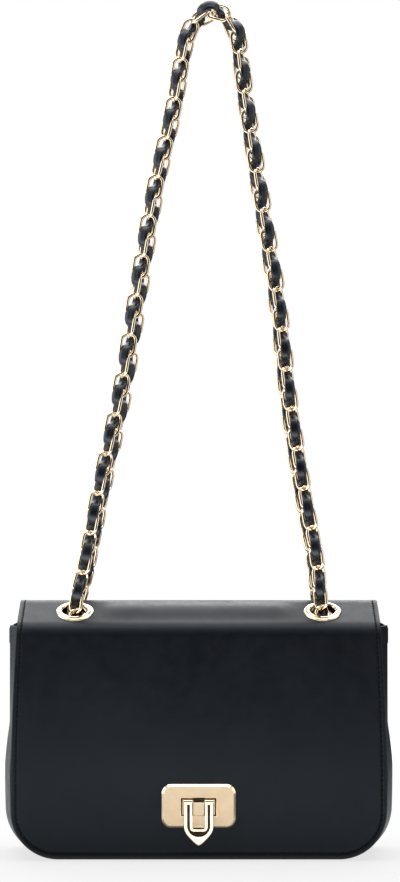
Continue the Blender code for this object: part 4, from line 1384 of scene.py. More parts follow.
@dataclass
class Gusset:
    """The strip of leather or lining round the sides and the base, full low down and folded in at the top."""

    shape: BagShape
    finishes: Finishes
    skin: float
    back_depth: float
    inset: float = 0.0
    floor: float = 0.0
    rise: float = 5.0 * MM
    groove: float = 0.25 * MM
    seam_inset: float = 2.6 * MM
    groove_half: float = 0.5 * MM
    width: float = 62.0 * MM
    seam_end: float = 0.004
    seam_points: int = 900
    arch_power: float = 1.3
    top_fade: float = 12.0 * MM
    crease: float = 1.2 * MM
    crease_half: float = 0.06
    rows: int = 220
    columns: int = 30
    edge_angle: float = 50.0

    def trace(self, share: float) -> tuple[float, float, float, float]:
        """Follow the U of the strip's middle.

        Args:
            share: from 0 at the left top to 1 at the right top.

        Returns:
            x, z and the outward direction's x and z.
        """
        shape = self.shape
        radius = shape.corner_radius - self.inset
        top = shape.gusset_rear + self.rise
        low = self.floor + radius
        half_base = shape.body_half(shape.corner_radius) - shape.corner_radius
        side, arc = top - low, radius * math.pi / 2
        total = 2 * (side + arc + half_base)
        along = share * total
        mirror = -1.0
        if along > total / 2:
            along, mirror = total - along, 1.0
        if along < side:
            z = top - along
            return mirror * (shape.body_half(z) - self.inset), z, mirror, 0.0
        if along < side + arc:
            turn = (along - side) / radius
            return (mirror * (half_base + radius * math.cos(turn)), low - radius * math.sin(turn),
                    mirror * math.cos(turn), -math.sin(turn))
        return mirror * (half_base - (along - side - arc)), self.floor, 0.0, -1.0

    def point(self, share: float, across: float) -> Vector:
        """A point of the strip.

        Args:
            share: along the U.
            across: from 0 at the front to 1 at the back.

        Returns:
            The place in the bag's frame.
        """
        shape = self.shape
        x, z, out_x, out_z = self.trace(share)
        if z > shape.knee:
            near_top = max(z - shape.gusset_rear + self.top_fade, 0.0) / (self.top_fade + self.rise)
            z -= (shape.gusset_rear - shape.gusset_front) * (1 - across) * near_top
        front = shape.front_y(z) + self.skin + shape.gap + self.inset
        back = shape.back_y(z) - self.back_depth - self.skin - shape.gap - self.inset
        upper = eased((z - shape.knee) / (shape.gusset_rear - shape.knee))
        arch = math.sin(math.pi * across) ** self.arch_power
        swell = shape.side_bulge * (1 - upper) * arch - shape.side_fold * upper * arch
        fold = bump((across - 0.5) / self.crease_half) * self.crease * upper
        reach = (swell - fold) * abs(out_x) + self.relief(across)
        half_base = shape.body_half(shape.corner_radius) - shape.corner_radius
        flare = shape.body_half(z, 1.0) - shape.body_half(z)
        x += flare * across * min(max(x / half_base, -1.0), 1.0)
        return Vector((x + out_x * reach, front + (back - front) * across, z + out_z * reach))

    def relief(self, across: float) -> float:
        """Depth of the stitch grooves near the strip's two edges."""
        aways = [abs(across - edge) * self.width - self.seam_inset for edge in (0, 1)]
        return -self.groove * sum(bump(away / self.groove_half) for away in aways)

    def strip(self, name: str) -> Piece:
        """Bend a grid to the strip and give it its thickness inwards.

        Args:
            name: the piece's name.

        Returns:
            The closed strip.
        """
        piece = Bench.add(name, bpy.ops.mesh.primitive_grid_add, x_subdivisions=self.columns,
                          y_subdivisions=self.rows, size=2)
        for vertex in piece.data.vertices:
            across = (1 - math.cos(math.pi * (vertex.co.x + 1) / 2)) / 2
            vertex.co = self.point((vertex.co.y + 1) / 2, across)
        Bench.dress(piece, None, None, None)
        Bench.modify(piece, "SOLIDIFY", thickness=self.skin, offset=-1.0, use_even_offset=True,
                     material_offset=2, material_offset_rim=1)
        return Bench.shade(Bench.outward(piece), self.edge_angle)

    def seam(self, across: float) -> Path:
        """Follow the stitch line near one edge of the strip.

        Args:
            across: its share of the strip's width.

        Returns:
            The path.
        """
        count = self.seam_points
        shares = [self.seam_end + (1 - 2 * self.seam_end) * index / count for index in range(count + 1)]
        normals = [Vector((out_x, 0.0, out_z)) for _, _, out_x, out_z in map(self.trace, shares)]
        return Path([self.point(share, across) for share in shares], normals)

    def build(self) -> None:
        """Make the gusset and its two stitch lines."""
        finishes = self.finishes
        piece = Bench.dress(self.strip("gusset_leather"), finishes.leather, finishes.edge, finishes.suede)
        self.shape.place(piece, Body.BAG, Slot.LEATHER, "gusset")
        share = self.seam_inset / self.width
        rows = Stitches(finishes.thread).sew("gusset_stitches", [self.seam(share), self.seam(1 - share)])
        self.shape.place(rows, Body.BAG, Slot.LEATHER)
        log.info("gusset: %d faces", len(piece.data.polygons))


@dataclass
class Inside:
    """The linings, the slip pocket and the base board."""

    shape: BagShape
    finishes: Finishes
    depth: float = 2.5 * MM
    cloth: float = 0.6 * MM
    floor: float = 4.2 * MM
    strip_floor: float = 3.3 * MM
    mouth: float = 139.2 * MM
    top_drop: float = 3.0 * MM
    step: float = 2.0 * MM
    corner: float = 2.0 * MM
    fold_share: float = 0.5
    wall_grid: tuple[int, int] = (60, 60)
    board: float = 1.5 * MM
    board_margin: float = 4.0 * MM
    board_steps: int = 5
    board_angle: float = 35.0
    pocket_width: float = 150.0 * MM
    pocket_height: float = 85.0 * MM
    pocket_rise: float = 20.0 * MM
    pocket_depth: float = 1.6 * MM
    pocket_corner: float = 6.0 * MM
    pocket_steps: int = 40
    slack: float = 1.6 * MM
    hem: float = 2.0 * MM
    flap_margin: float = 3.0 * MM
    flap_start: float = 4.5 * MM
    flap_step: float = 1.5 * MM
    flap_rise: float = 3.0 * MM
    hinge_gap: float = 2.0 * MM
    flap_grid: tuple[int, int] = (80, 80)
    window_margin: float = 3.8 * MM

    def line_with(self, piece: Piece, node: str) -> None:
        """Dress a piece in lining cloth and hand it over to the bag."""
        piece = Bench.dress(piece, *[self.finishes.lining] * 3)
        self.shape.place(piece, Body.BAG, Slot.LINING, node)

    def wall(self, name: str, face: Callable[[float], float], inward: float, top: float, node: str,
             across: float) -> None:
        """A lining behind the front or the back panel.

        Args:
            name: the piece's name.
            face: outer depth of the panel at a height.
            inward: how far in from it the cloth lies, with its sign.
            top: height of its upper edge.
            node: the part's piece that it stands for.
            across: 0 at the front, 1 at the back.
        """
        shape = self.shape
        count = int((top - self.floor) / self.step)
        heights = [self.floor + (top - self.floor) * index / count for index in range(count + 1)]
        radii = [shape.corner_radius - self.depth, self.corner]
        if inward < 0:
            heights.reverse()
            radii.reverse()
        line = Line([(face(z) + inward, z) for z in heights])

        def half(length: float) -> float:
            """Half the cloth's width at a length, drawn in where the gusset folds in."""
            z = line.at(length)[0].y
            rise = max(z - shape.knee, 0.0) / (shape.gusset_rear - shape.knee)
            fold = shape.side_fold * self.fold_share * rise
            return shape.body_half(z, across) - self.depth - 2 * self.cloth - fold

        outline = Outline(half, line.length, *radii)
        self.line_with(Sheet(name, line, outline, self.cloth, *self.wall_grid).build(), node)

    def pocket(self, shell: Shell) -> None:
        """The slip pocket on the back lining, a little slack at its mouth, with a stitched hem.

        Args:
            shell: the bag's leather.
        """
        shape = self.shape
        points = []
        for index in range(self.pocket_steps + 1):
            share = 1 - index / self.pocket_steps
            z = self.floor + self.pocket_rise + self.pocket_height * share
            inward = shell.back_depth + self.depth + self.pocket_depth + self.slack * share ** 3
            points.append((shape.back_y(z) - inward, z))
        line = Line(points[::-1])
        cuts = [Outline(lambda length: self.pocket_width / 2, line.length, *radii)
                for radii in ((self.pocket_corner, self.corner), (self.corner, self.pocket_corner))]
        self.line_with(Sheet("slip_pocket_cloth", line, cuts[0], self.cloth, self.pocket_steps,
                             self.pocket_steps).build(), "slip_pocket")
        right = Sheet("hem", Line(points), cuts[1], self.cloth, 1, 1).seam(self.hem)
        rows = Stitches(self.finishes.thread).sew("pocket_stitches", [right, right.mirrored()])
        shape.place(rows, Body.BAG, Slot.LINING)

    def flap_cloth(self, shell: Shell, lock: "FlipLock") -> None:
        """The lining of the flap.

        Args:
            shell: the bag's leather.
            lock: the lock that it has a window for.
        """
        shape, margin = self.shape, self.flap_margin
        whole = shell.top_line()
        points = []
        length = self.flap_start
        place, out = whole.at(length)
        hinge_y, _ = shape.band(shape.band_length)
        while place.y <= shape.shoulder_z + self.flap_rise and place.x <= hinge_y - self.hinge_gap:
            points.append(tuple(place - out * (shell.skin + shape.gap)))
            length += self.flap_step
            place, out = whole.at(length)
        line = Line(points)
        outline = Outline(lambda distance: shape.flap_half(line.at(distance)[0].y) - margin, line.length,
                          shape.flap_corner - margin, self.corner)
        sheet = Sheet("flap_lining_cloth", line, outline, self.cloth, *self.flap_grid, relief=shell.relief)
        piece = Bench.combine(sheet.build(), lock.window_cutter(self.window_margin))
        Bench.dress(piece, *[self.finishes.lining] * 3)
        stand_in(shell.bend(shape.settle(piece)), Slot.LINING, "flap_lining")

    def base_board(self) -> None:
        """The board under the lining, with softened corners."""
        shape = self.shape
        half = shape.body_half(0.0) - shape.corner_radius - self.board_margin
        low = shape.leather + shape.gap
        front = shape.front_face + shape.leather + self.board_margin
        back = shape.half_depth - shape.leather - self.board_margin
        piece = Bench.box("base_board_fibre", (-half, front, low), (half, back, low + self.board))
        Bench.edit(piece, "EDGE", lambda a, b: abs(a.z - b.z) > self.board / 2, bpy.ops.mesh.bevel,
                   offset=self.board_margin, segments=self.board_steps, affect="EDGES")
        Bench.dress(Bench.shade(piece, self.board_angle), self.finishes.board)
        shape.place(piece, Body.BAG, Slot.BOARD, "base_board")

    def build(self, shell: Shell, lock: "FlipLock") -> None:
        """Make everything inside the bag.

        Args:
            shell: the bag's leather.
            lock: the lock.
        """
        shape = self.shape
        self.wall("front_lining_cloth", shape.front_y, self.depth + shape.base_plate, self.mouth,
                  "lining_front", 0.0)
        self.wall("back_lining_cloth", shape.back_y, -self.depth - shell.back_depth,
                  shape.shoulder_z - self.top_drop, "lining_back", 1.0)
        strip = Gusset(shape, self.finishes, skin=self.cloth, back_depth=shell.back_depth, inset=self.depth,
                       floor=self.strip_floor, rise=0.0, groove=0.0)
        self.line_with(strip.strip("gusset_lining_cloth"), "lining_gusset")
        self.pocket(shell)
        self.flap_cloth(shell, lock)
        self.base_board()
        log.info("linings, pocket and board")


@dataclass
class EyeletSet:
    """Four stepped rings, each with its washer under the leather."""

    shape: BagShape
    finishes: Finishes
    spacing: float = 158.0 * MM
    bore: float = 16.0 * MM
    flange: float = 4.0 * MM
    thickness: float = 1.7 * MM
    wall: float = 0.7 * MM
    roll: float = 1.0 * MM
    roll_drops: Pair = (0.7, 0.8)
    washer_width: float = 1.6 * MM
    washer: float = 0.9 * MM
    washer_round: float = 0.3
    sides: int = 96
    edge_angle: float = 30.0
    step_shares: tuple[Pair, ...] = (
        (0.00, 0.30), (0.05, 0.62), (0.16, 0.90), (0.30, 1.00), (0.42, 0.93), (0.47, 0.70), (0.50, 0.58),
        (0.56, 0.56), (0.66, 0.62), (0.80, 0.60), (0.91, 0.46), (0.98, 0.24), (1.00, 0.05),
    )

    def ring(self) -> Piece:
        """Turn one ring about +Z, with its underside at the leather's face.

        Returns:
            The ring.
        """
        shape, wall = self.shape, self.wall
        inner = self.bore / 2
        barrel = inner + wall
        low = -(shape.leather + 2 * shape.gap + self.washer)
        rolled, bored = self.roll_drops
        lift = shape.gap / 3
        top = [(inner + self.flange * out, lift + self.thickness * up) for out, up in self.step_shares]
        under = [(inner + self.flange, 0.0), (barrel, 0.0), (barrel, low), (barrel + self.roll, low),
                 (barrel + self.roll, low - wall * rolled), (barrel, low - wall), (inner, low - wall * bored)]
        piece = Bench.ring("eyelet_pattern", top + under, self.sides)
        return Bench.dress(Bench.shade(piece, self.edge_angle), self.finishes.polished)

    def washer_ring(self) -> Piece:
        """Turn one washer about +Z, under the leather.

        Returns:
            The washer.
        """
        inner = self.bore / 2 + self.wall + self.shape.gap
        outer = inner + self.washer_width
        high = -(self.shape.leather + self.shape.gap)
        low = high - self.washer
        edge = low + self.washer * self.washer_round
        profile = [(inner, high), (outer, high), (outer, edge), ((inner + outer) / 2, low), (inner, edge)]
        piece = Bench.ring("washer_pattern", profile, self.sides // 2)
        return Bench.dress(Bench.shade(piece, self.edge_angle), self.finishes.steel)

    def build(self) -> None:
        """Put a ring and a washer in each of the four holes."""
        shape = self.shape
        patterns = (("eyelet", self.ring(), Slot.GOLD), ("eyelet_washer", self.washer_ring(), Slot.STEEL))
        for side in Side:
            for face in Face:
                place = Matrix.Translation(shape.origin) @ shape.eyelet(side, face, self.spacing)
                where = f"{face.name.lower()}_{side.name.lower()}"
                for kind, pattern, slot in patterns:
                    piece = Bench.copied(pattern, f"{kind}_turned_{where}", place)
                    hand_over(piece, Body.BAG, slot, f"{kind}_{where}")
        for _, pattern, _ in patterns:
            Bench.drop(pattern)
        log.info("four eyelets with their washers")


@dataclass
class FlipLock:
    """The plate on the flap, the post that stands through its window and the latch that flips over it."""

    shape: BagShape
    finishes: Finishes
    height: float = 34.6 * MM
    plate_width: float = 46.7 * MM
    plate_height: float = 27.4 * MM
    plate_corner: float = 6.0 * MM
    plate_thickness: float = 2.4 * MM
    plate_bevel: float = 1.35 * MM
    plate_edge: float = 70.0
    satin_area: float = 2 * MM * MM
    window_width: float = 22.3 * MM
    window_height: float = 11.4 * MM
    window_drop: float = 0.7 * MM
    window_reach: Pair = (2.0 * MM, 20.0 * MM)
    post_clearance: float = 0.6 * MM
    post_gap: float = 0.9 * MM
    base_margin: float = 4.0 * MM
    backing_margin: float = 3.5 * MM
    corner_steps: int = 8
    latch_width: float = 18.6 * MM
    latch_length: float = 27.2 * MM
    latch_thickness: float = 3.4 * MM
    latch_bevel: float = 0.8 * MM
    pin_drop: float = 2.2 * MM
    pin_radius: float = 0.6 * MM
    barrel: float = 1.5 * MM
    knuckle: float = 6.6 * MM
    knuckle_drop: float = 1.7 * MM
    tongue: float = 8.2 * MM
    clearance: float = 0.3 * MM
    groove_radius: float = 7.2 * MM
    groove_depth: float = 2.0 * MM
    groove_end: float = 15.7 * MM
    rib_half: float = 5.6 * MM
    rib_low: float = 18.9 * MM
    rib_corner: float = 2.4 * MM
    rib_width: float = 1.6 * MM
    u_steps: int = 10
    pocket_depth: float = 1.5 * MM
    step_high: float = 23.4 * MM
    step_low: float = 21.3 * MM
    step_margin: float = 0.2 * MM
    step_depths: Pair = (0.6 * MM, 0.4 * MM)
    overcut: float = 1.0 * MM
    soften: float = 0.22 * MM
    wall_round: float = 0.42 * MM
    wall_edge: float = 60.0
    facing: float = 0.995
    floor_facing: float = 0.9
    steel_angle: float = 30.0
    plate_angle: float = 20.0
    cast_angle: float = 40.0
    outline_shares: tuple[Pair, ...] = (
        (1.0, 0.0), (1.0, 0.58), (0.99, 0.625), (0.955, 0.668), (0.87, 0.725), (0.73, 0.79), (0.55, 0.855),
        (0.36, 0.922), (0.17, 0.975), (0.07, 0.994), (0.02, 0.999),
    )

    def __post_init__(self) -> None:
        """Work out the depths and outlines that the pieces share."""
        self.window_z = self.height - self.window_drop
        self.plate_back = -self.shape.half_depth - self.shape.gap
        self.plate_front = self.plate_back - self.plate_thickness
        self.pin_y = self.plate_front - self.shape.gap - self.barrel
        self.pin_z = self.window_z + self.window_height / 2 - self.pin_drop
        # The third gold is painted shade for the lock's deep faces.
        self.golds = (self.finishes.polished, self.finishes.satin, self.finishes.painted_shade_gold)
        self.groove = (self.groove_radius, self.groove_end, self.groove_radius)
        self.rib = (self.rib_half, self.rib_low, self.rib_corner)
        self.well = (self.rib_half - self.rib_width, self.rib_low + self.rib_width,
                     self.rib_corner - self.rib_width / 2)

    def window_cutter(self, margin: float = 0.0) -> Piece:
        """A box that cuts the window.

        Args:
            margin: how much larger it is all round.

        Returns:
            The box.
        """
        x = self.window_width / 2 + margin
        z = self.window_height / 2 + margin
        before, behind = self.window_reach
        return Bench.box("window_cutter", (-x, self.plate_front - before, self.window_z - z),
                         (x, self.plate_back + behind, self.window_z + z))

    def frame_outline(self, margin: float) -> list[Pair]:
        """Outline of a plate round the window.

        Args:
            margin: how far it stands out from the window.

        Returns:
            Its corners in x and z, rounded.
        """
        radius = margin / 2
        half_x, half_z = (side / 2 + margin - radius for side in (self.window_width, self.window_height))
        outline = []
        for turn, sign_x, sign_z in ((0, 1, 1), (1, -1, 1), (2, -1, -1), (3, 1, -1)):
            for step in range(self.corner_steps + 1):
                angle = (turn + step / self.corner_steps) * math.pi / 2
                outline.append((sign_x * half_x + radius * math.cos(angle),
                                self.window_z + sign_z * half_z + radius * math.sin(angle)))
        return outline

    def pin_bar(self, name: str, left: float, right: float, radius: float) -> Piece:
        """A bar on the pin's axis, from one place across the lock to another."""
        ends = [Vector((x, self.pin_y, self.pin_z)) for x in (left, right)]
        return Bench.bar(name, *ends, radius)

    def bored(self, piece: Piece) -> Piece:
        """Bore the pin's hole through a piece."""
        radius = self.pin_radius + self.clearance / 2
        return Bench.combine(piece, self.pin_bar("bore", -self.latch_width, self.latch_width, radius))

    def steel(self, piece: Piece, rounding: float, body: Body, node: str) -> None:
        """Round a steel piece's edges, dress it and hand it over to a body and a node."""
        piece = Bench.shade(Bench.soften(piece, rounding), self.steel_angle)
        self.shape.place(Bench.dress(piece, self.finishes.steel), body, Slot.STEEL, node)

    def gild(self, piece: Piece, finish: Callable[[Vector, Vector, float], int], angle: float, body: Body,
             node: str) -> None:
        """Dress a gilded piece face by face and hand it over.

        Args:
            piece: the piece.
            finish: takes a face's middle, direction and area, and gives its place in golds.
            angle: edges sharper than this stay sharp.
            body: what it moves with.
            node: the part's node that it stands for.
        """
        Bench.dress(piece, *self.golds)
        for polygon in piece.data.polygons:
            polygon.material_index = finish(polygon.center, polygon.normal, polygon.area)
        self.shape.place(Bench.flatten(piece, angle), body, Slot.GOLD, node)

    def plate(self) -> None:
        """The plate: a block with round corners, a polished bevel and a satin face."""
        half_x, half_z = self.plate_width / 2, self.plate_height / 2
        piece = Bench.box("lock_plate_cast", (-half_x, self.plate_front, self.height - half_z),
                          (half_x, self.plate_back, self.height + half_z))
        Bench.edit(piece, "EDGE", lambda a, b: abs(a.y - b.y) > self.plate_thickness / 2, bpy.ops.mesh.bevel,
                   offset=self.plate_corner, segments=12, affect="EDGES")
        front = self.plate_front + self.shape.gap / 10
        Bench.edit(piece, "EDGE", lambda a, b: a.y < front and b.y < front, bpy.ops.mesh.bevel,
                   offset=self.plate_bevel, segments=1, affect="EDGES")
        Bench.combine(piece, self.window_cutter())
        Bench.soften(piece, self.soften, angle=self.plate_edge)

        def finish(place: Vector, normal: Vector, area: float) -> int:
            """Finish of a face: painted shade in the window, satin in front and polished elsewhere."""
            inside = abs(place.x) < self.window_width / 2 + self.soften / 2
            inside = inside and abs(place.z - self.window_z) < self.window_height / 2 + self.soften / 2
            # Faces inside the window get the near-black gold as painted shade.
            if inside and place.y > self.plate_front + self.soften:
                return 2
            return 1 if normal.y < -self.facing and area > self.satin_area else 0

        self.gild(piece, finish, self.plate_angle, Body.FLAP, "lock_plate")

    def backing(self) -> None:
        """The frame behind the flap's leather."""
        front = -self.shape.half_depth + self.shape.leather + self.shape.gap
        outline = self.frame_outline(self.backing_margin)
        piece = Bench.plate("lock_backing_plate", outline, front, front + self.shape.lining)
        Bench.combine(piece, self.window_cutter())
        self.steel(piece, self.soften / 2, Body.FLAP, "lock_backing")

    def post(self) -> None:
        """The base plate on the front panel, with the block, the knuckle and the tongue that stand out."""
        shape = self.shape
        back = shape.front_face - shape.gap
        outline = self.frame_outline(self.base_margin)
        piece = Bench.plate("lock_post_cast", outline, back - shape.base_plate, back)
        half_x, half_z = (side / 2 - self.post_gap for side in (self.window_width, self.window_height))
        block_front = self.plate_front + self.post_clearance
        block = Bench.box("block", (-half_x, block_front, self.window_z - half_z),
                          (half_x, back - shape.base_plate / 2, self.window_z + half_z))
        Bench.combine(piece, block, "UNION")
        knee = self.knuckle / 2
        tongue = Bench.box("tongue", (-knee, self.pin_y - self.barrel, self.pin_z - self.tongue),
                           (knee, block_front + self.clearance, self.pin_z))
        Bench.combine(piece, tongue, "UNION")
        Bench.combine(piece, self.pin_bar("knuckle", -knee, knee, self.barrel), "UNION")
        Bench.soften(self.bored(piece), self.soften)

        def finish(place: Vector, normal: Vector, area: float) -> int:
            """Finish of a face: painted shade deep down and atop the knuckle, satin in front, polished
            elsewhere.
            """
            # Deep faces get painted shade, and the knuckle's top a painted shadow.
            if place.y > block_front + self.soften or place.z > self.pin_z - self.knuckle_drop:
                return 2
            return 1 if normal.y < -self.facing else 0

        self.gild(piece, finish, self.cast_angle, Body.BAG, "lock_post")

    def washer_and_pin(self) -> None:
        """The washer inside the front panel and the latch's pin."""
        shape = self.shape
        front = shape.front_face + shape.leather + shape.gap
        outline = self.frame_outline(self.base_margin)
        piece = Bench.plate("lock_washer_plate", outline, front, front + shape.base_plate)
        self.steel(piece, self.soften, Body.BAG, "lock_washer")
        reach = self.latch_width / 2 - self.clearance
        piece = self.pin_bar("latch_pin_bar", -reach, reach, self.pin_radius)
        self.steel(piece, self.pin_radius / 4, Body.BAG, "latch_pin")

    def u_outline(self, half: float, low: float, corner: float, top: float) -> list[Pair]:
        """A U: straight sides down to a low edge with round corners.

        Args:
            half: half its width.
            low: height of its low edge.
            corner: radius of its two corners.
            top: height of its open end.

        Returns:
            Its corners in x and z.
        """
        right = [(half, top)]
        for step in range(self.u_steps + 1):
            angle = math.pi / 2 * step / self.u_steps
            right.append((half - corner + corner * math.cos(angle), low + corner - corner * math.sin(angle)))
        return right + [(-x, z) for x, z in reversed(right) if x > Bench.double / 10]

    def latch(self) -> None:
        """The latch: an arrow with a deep groove round a raised U, a sunk floor, a slot and two barrels."""
        back = self.pin_y + self.barrel
        front = back - self.latch_thickness
        half = self.latch_width / 2
        right = [(half * across, self.pin_z - self.latch_length * down)
                 for across, down in self.outline_shares]
        piece = Bench.plate("latch_cast", right + [(-x, z) for x, z in reversed(right)], front, back)
        near = front + self.clearance / 10
        Bench.edit(piece, "EDGE", lambda a, b: a.y < near and b.y < near, bpy.ops.mesh.bevel,
                   offset=self.latch_bevel, segments=3, profile=0.5, affect="EDGES")
        top = self.pin_z + self.barrel * 2
        over = front - self.overcut
        groove = Bench.plate("groove", self.u_outline(*self.groove, self.pin_z - self.barrel), over,
                             front + self.groove_depth)
        Bench.combine(groove, Bench.plate("island", self.u_outline(*self.rib, top), over - self.overcut,
                                          front + 3 * self.groove_depth))
        Bench.combine(piece, groove)
        floor = front + self.pocket_depth
        Bench.combine(piece, Bench.plate("floor", self.u_outline(*self.well, top), over, floor))
        Bench.soften(piece, self.wall_round, 3, self.wall_edge)
        slot = self.knuckle / 2 + 2 * self.clearance
        slot_low = self.pin_z - self.tongue - self.clearance
        Bench.combine(piece, Bench.box("slot", (-slot, over, slot_low), (slot, back + self.overcut, top)))
        reach = self.well[0] + self.step_margin
        proud, sunk = self.step_depths
        ledge = Bench.box("ledge", (-reach, floor - proud, self.step_low),
                          (reach, floor + sunk, self.step_high))
        Bench.combine(piece, ledge, "UNION")
        for sign in (-1, 1):
            Bench.combine(piece, self.pin_bar("barrel", sign * slot, sign * half, self.barrel), "UNION")
        Bench.soften(self.bored(piece), self.soften / 2)
        self.gild(piece, lambda place, normal, area: self.latch_finish(place, normal, front), self.cast_angle,
                  Body.LATCH, "latch")

    @staticmethod
    def within_u(place: Vector, half: float, low: float, corner: float) -> bool:
        """Whether a place lies inside a U, seen from the front.

        Args:
            place: the place.
            half: half the U's width.
            low: height of its low edge.
            corner: radius of its corners.

        Returns:
            True inside it.
        """
        x, z = abs(place.x), place.z
        over_x, over_z = x - (half - corner), low + corner - z
        rounded = over_x <= 0 or over_z <= 0 or math.hypot(over_x, over_z) <= corner
        return x <= half and z >= low and rounded

    def latch_finish(self, place: Vector, normal: Vector, front: float) -> int:
        """Finish of a face of the latch: 0 polished, 1 satin, 2 painted shade in its groove and deep pocket.

        Args:
            place: the face's middle.
            normal: its outward direction.
            front: depth of the latch's front.

        Returns:
            The material slot.
        """
        deep = place.y > front + self.wall_round
        grooved = self.within_u(place, *self.groove) and not self.within_u(place, *self.rib)
        # The groove round the raised U gets painted shade.
        if place.z < self.pin_z - self.barrel and grooved and deep:
            return 2
        if self.within_u(place, *self.well) and deep:
            # Below the ledge the pocket gets painted shade.
            return 2 if place.z < self.step_low else int(normal.y < -self.floor_facing)
        return int(normal.y < -self.facing and place.z < self.groove_end)

    def build(self) -> None:
        """Make the lock."""
        self.plate()
        self.backing()
        self.post()
        self.washer_and_pin()
        self.latch()
        log.info("flip lock")


@dataclass
class Strap:
    """The chain of oval links and the lace woven through it: one closed loop through the four eyelets."""

    shape: BagShape
    finishes: Finishes
    hardware: EyeletSet
    wire: float = 2.1 * MM
    link_width: float = 11.4 * MM
    pitch: float = 12.85 * MM
    lean: float = math.radians(35.0)
    tilt: float = math.radians(41.0)
    ride: float = 3.3 * MM
    lace_width: float = 6.9 * MM
    lace_pinch: float = 6.0 * MM
    lace_thin: float = 2.5 * MM
    lace_thick: float = 3.3 * MM
    lace_thickness: float = 2.2 * MM
    lace_swell: float = 0.3 * MM
    lace_squeeze: float = 0.16
    squeeze_reach: float = 9.0 * MM
    lace_lift: float = 0.8 * MM
    lace_bend_lift: float = 10.0 * MM
    lace_crease: float = 0.45 * MM
    lace_power: float = 0.95
    lace_follow: float = 0.55
    lace_lap: float = 0.02
    crease_place: float = 0.12
    crease_half: float = 0.10
    crease_under: float = 0.3
    side_power: float = 0.5
    over_power: float = 0.7
    flange: float = 1.6 * MM
    rise: float = 386.0 * MM
    strand_clearance: float = 1.2 * MM
    inside_drop: float = 11.5 * MM
    turn: float = math.radians(-30.0)
    split_rise: float = 12.0 * MM
    split_rise_share: float = 0.91
    split_across_share: float = 0.34
    back_across_share: float = 0.965
    back_draw_start: float = 0.15
    back_draw_low: float = 0.01
    crown_across_share: float = 0.122
    samples: int = 12
    wire_sides: int = 12
    link_steps: int = 26
    link_angle: float = 80.0
    lace_steps: int = 14
    lace_sides: int = 20
    lace_angle: float = 60.0
    strand_route: tuple[Triple, ...] = (
        (-1.000, 0.000, 0.00), (-0.990, 0.022, 0.00), (-0.920, 0.081, 0.00), (-0.810, 0.202, 0.35),
        (-0.633, 0.369, 0.80), (-0.502, 0.533, 1.00), (-0.360, 0.701, 1.00), (-0.211, 0.832, 1.00),
        (-0.120, 0.939, 1.00), (-0.058, 0.975, 1.00), (0.026, 0.994, 1.00), (0.122, 1.000, 1.00),
        (0.225, 0.992, 1.00), (0.296, 0.971, 1.00), (0.328, 0.945, 1.00), (0.385, 0.850, 1.00),
        (0.513, 0.684, 0.80), (0.647, 0.517, 0.50), (0.739, 0.353, 0.25), (0.853, 0.202, 0.10),
        (0.950, 0.096, 0.00), (0.985, 0.022, 0.00), (0.990, 0.000, 0.00),
    )
    inside_route: tuple[Pair, ...] = (
        (-0.97, 0.42), (-0.74, 0.86), (-0.26, 1.0), (0.26, 1.0), (0.74, 0.86), (0.97, 0.42),
    )

    def __post_init__(self) -> None:
        """Lay out the loop and measure it."""
        shape, slope = self.shape, self.shape.band_slope
        y, self.low_z = shape.band(shape.eyelet_along)
        half_strand = ((self.link_width - self.wire) / 2 * math.sin(self.lean)
                       + self.lace_thickness + self.lace_lift)
        rim = -y - self.hardware.bore / 2 * math.cos(slope) + self.flange * math.sin(slope)
        self.strand_y = rim + self.strand_clearance + half_strand
        self.crown_y = self.link_width / 2 + 2 * shape.gap
        self.half = self.hardware.spacing / 2
        self.left, self.right = self.strand_route[0][0] * self.half, self.strand_route[-1][0] * self.half
        self.points, self.turns = self.sampled_route()
        self.lengths = lengths_along(self.points)
        self.outward = self.outward_directions()
        self.total = self.lengths[-1]
        self.count = 2 * round(self.total / self.pitch / 2)
        self.step = self.total / self.count

    def strand(self, face: Face, across: float, rise: float) -> Vector:
        """A point of the front or back strands, by its shares of the way across and up."""
        y = face.value * (self.strand_y + (self.crown_y - self.strand_y) * rise)
        return Vector((across * self.half, y, self.low_z + rise * self.rise))

    def crossing(self, x: float, direction: int) -> list[tuple[Vector, float]]:
        """The unturned run under the top from one face to the other: 1 goes to the back, -1 to the front."""
        return [(Vector((x, deep * self.strand_y, self.low_z - drop * self.inside_drop)), 0.0)
                for deep, drop in self.inside_route[::direction]]

    def route(self) -> list[tuple[Vector, float]]:
        """Lay out the closed route, which is drawn in a little behind.

        Returns:
            Its points, with the share of the strap's turn at each.
        """
        front = [(self.strand(Face.FRONT, across, rise), turn) for across, rise, turn in self.strand_route]
        back = []
        for across, rise, turn in reversed(self.strand_route):
            height = min(rise + self.back_draw_start, 1.0)
            draw = 1 - (1 - self.back_across_share) * math.sin(math.pi * height)
            if rise < self.back_draw_low:
                draw = 1.0
            share = (across - self.crown_across_share) * draw + self.crown_across_share
            back.append((self.strand(Face.BACK, share, rise), turn))
        return front + self.crossing(self.right, 1) + back + self.crossing(self.left, -1)

    @staticmethod
    def between(before: Vector, here: Vector, after: Vector, beyond: Vector, share: float) -> Vector:
        """A point of a smooth curve, a share of the way from here to the point after it."""
        s2, s3 = share * share, share ** 3
        return (here * (2 * s3 - 3 * s2 + 1) + (after - before) * 0.5 * (s3 - 2 * s2 + share)
                + after * (3 * s2 - 2 * s3) + (beyond - here) * 0.5 * (s3 - s2))

    def sampled_route(self) -> tuple[list[Vector], list[float]]:
        """Draw the smooth closed curve through the route's points, as many short steps.

        Returns:
            Its points, and the share of the strap's turn at each.
        """
        rows = self.route()
        points, turns = [], []
        for index in range(len(rows)):
            four = [rows[(index + shift) % len(rows)] for shift in (-1, 0, 1, 2)]
            for step in range(self.samples):
                share = step / self.samples
                points.append(self.between(*[row[0] for row in four], share))
                turns.append(four[1][1] + (four[2][1] - four[1][1]) * share)
        return points + points[:1], turns + turns[:1]

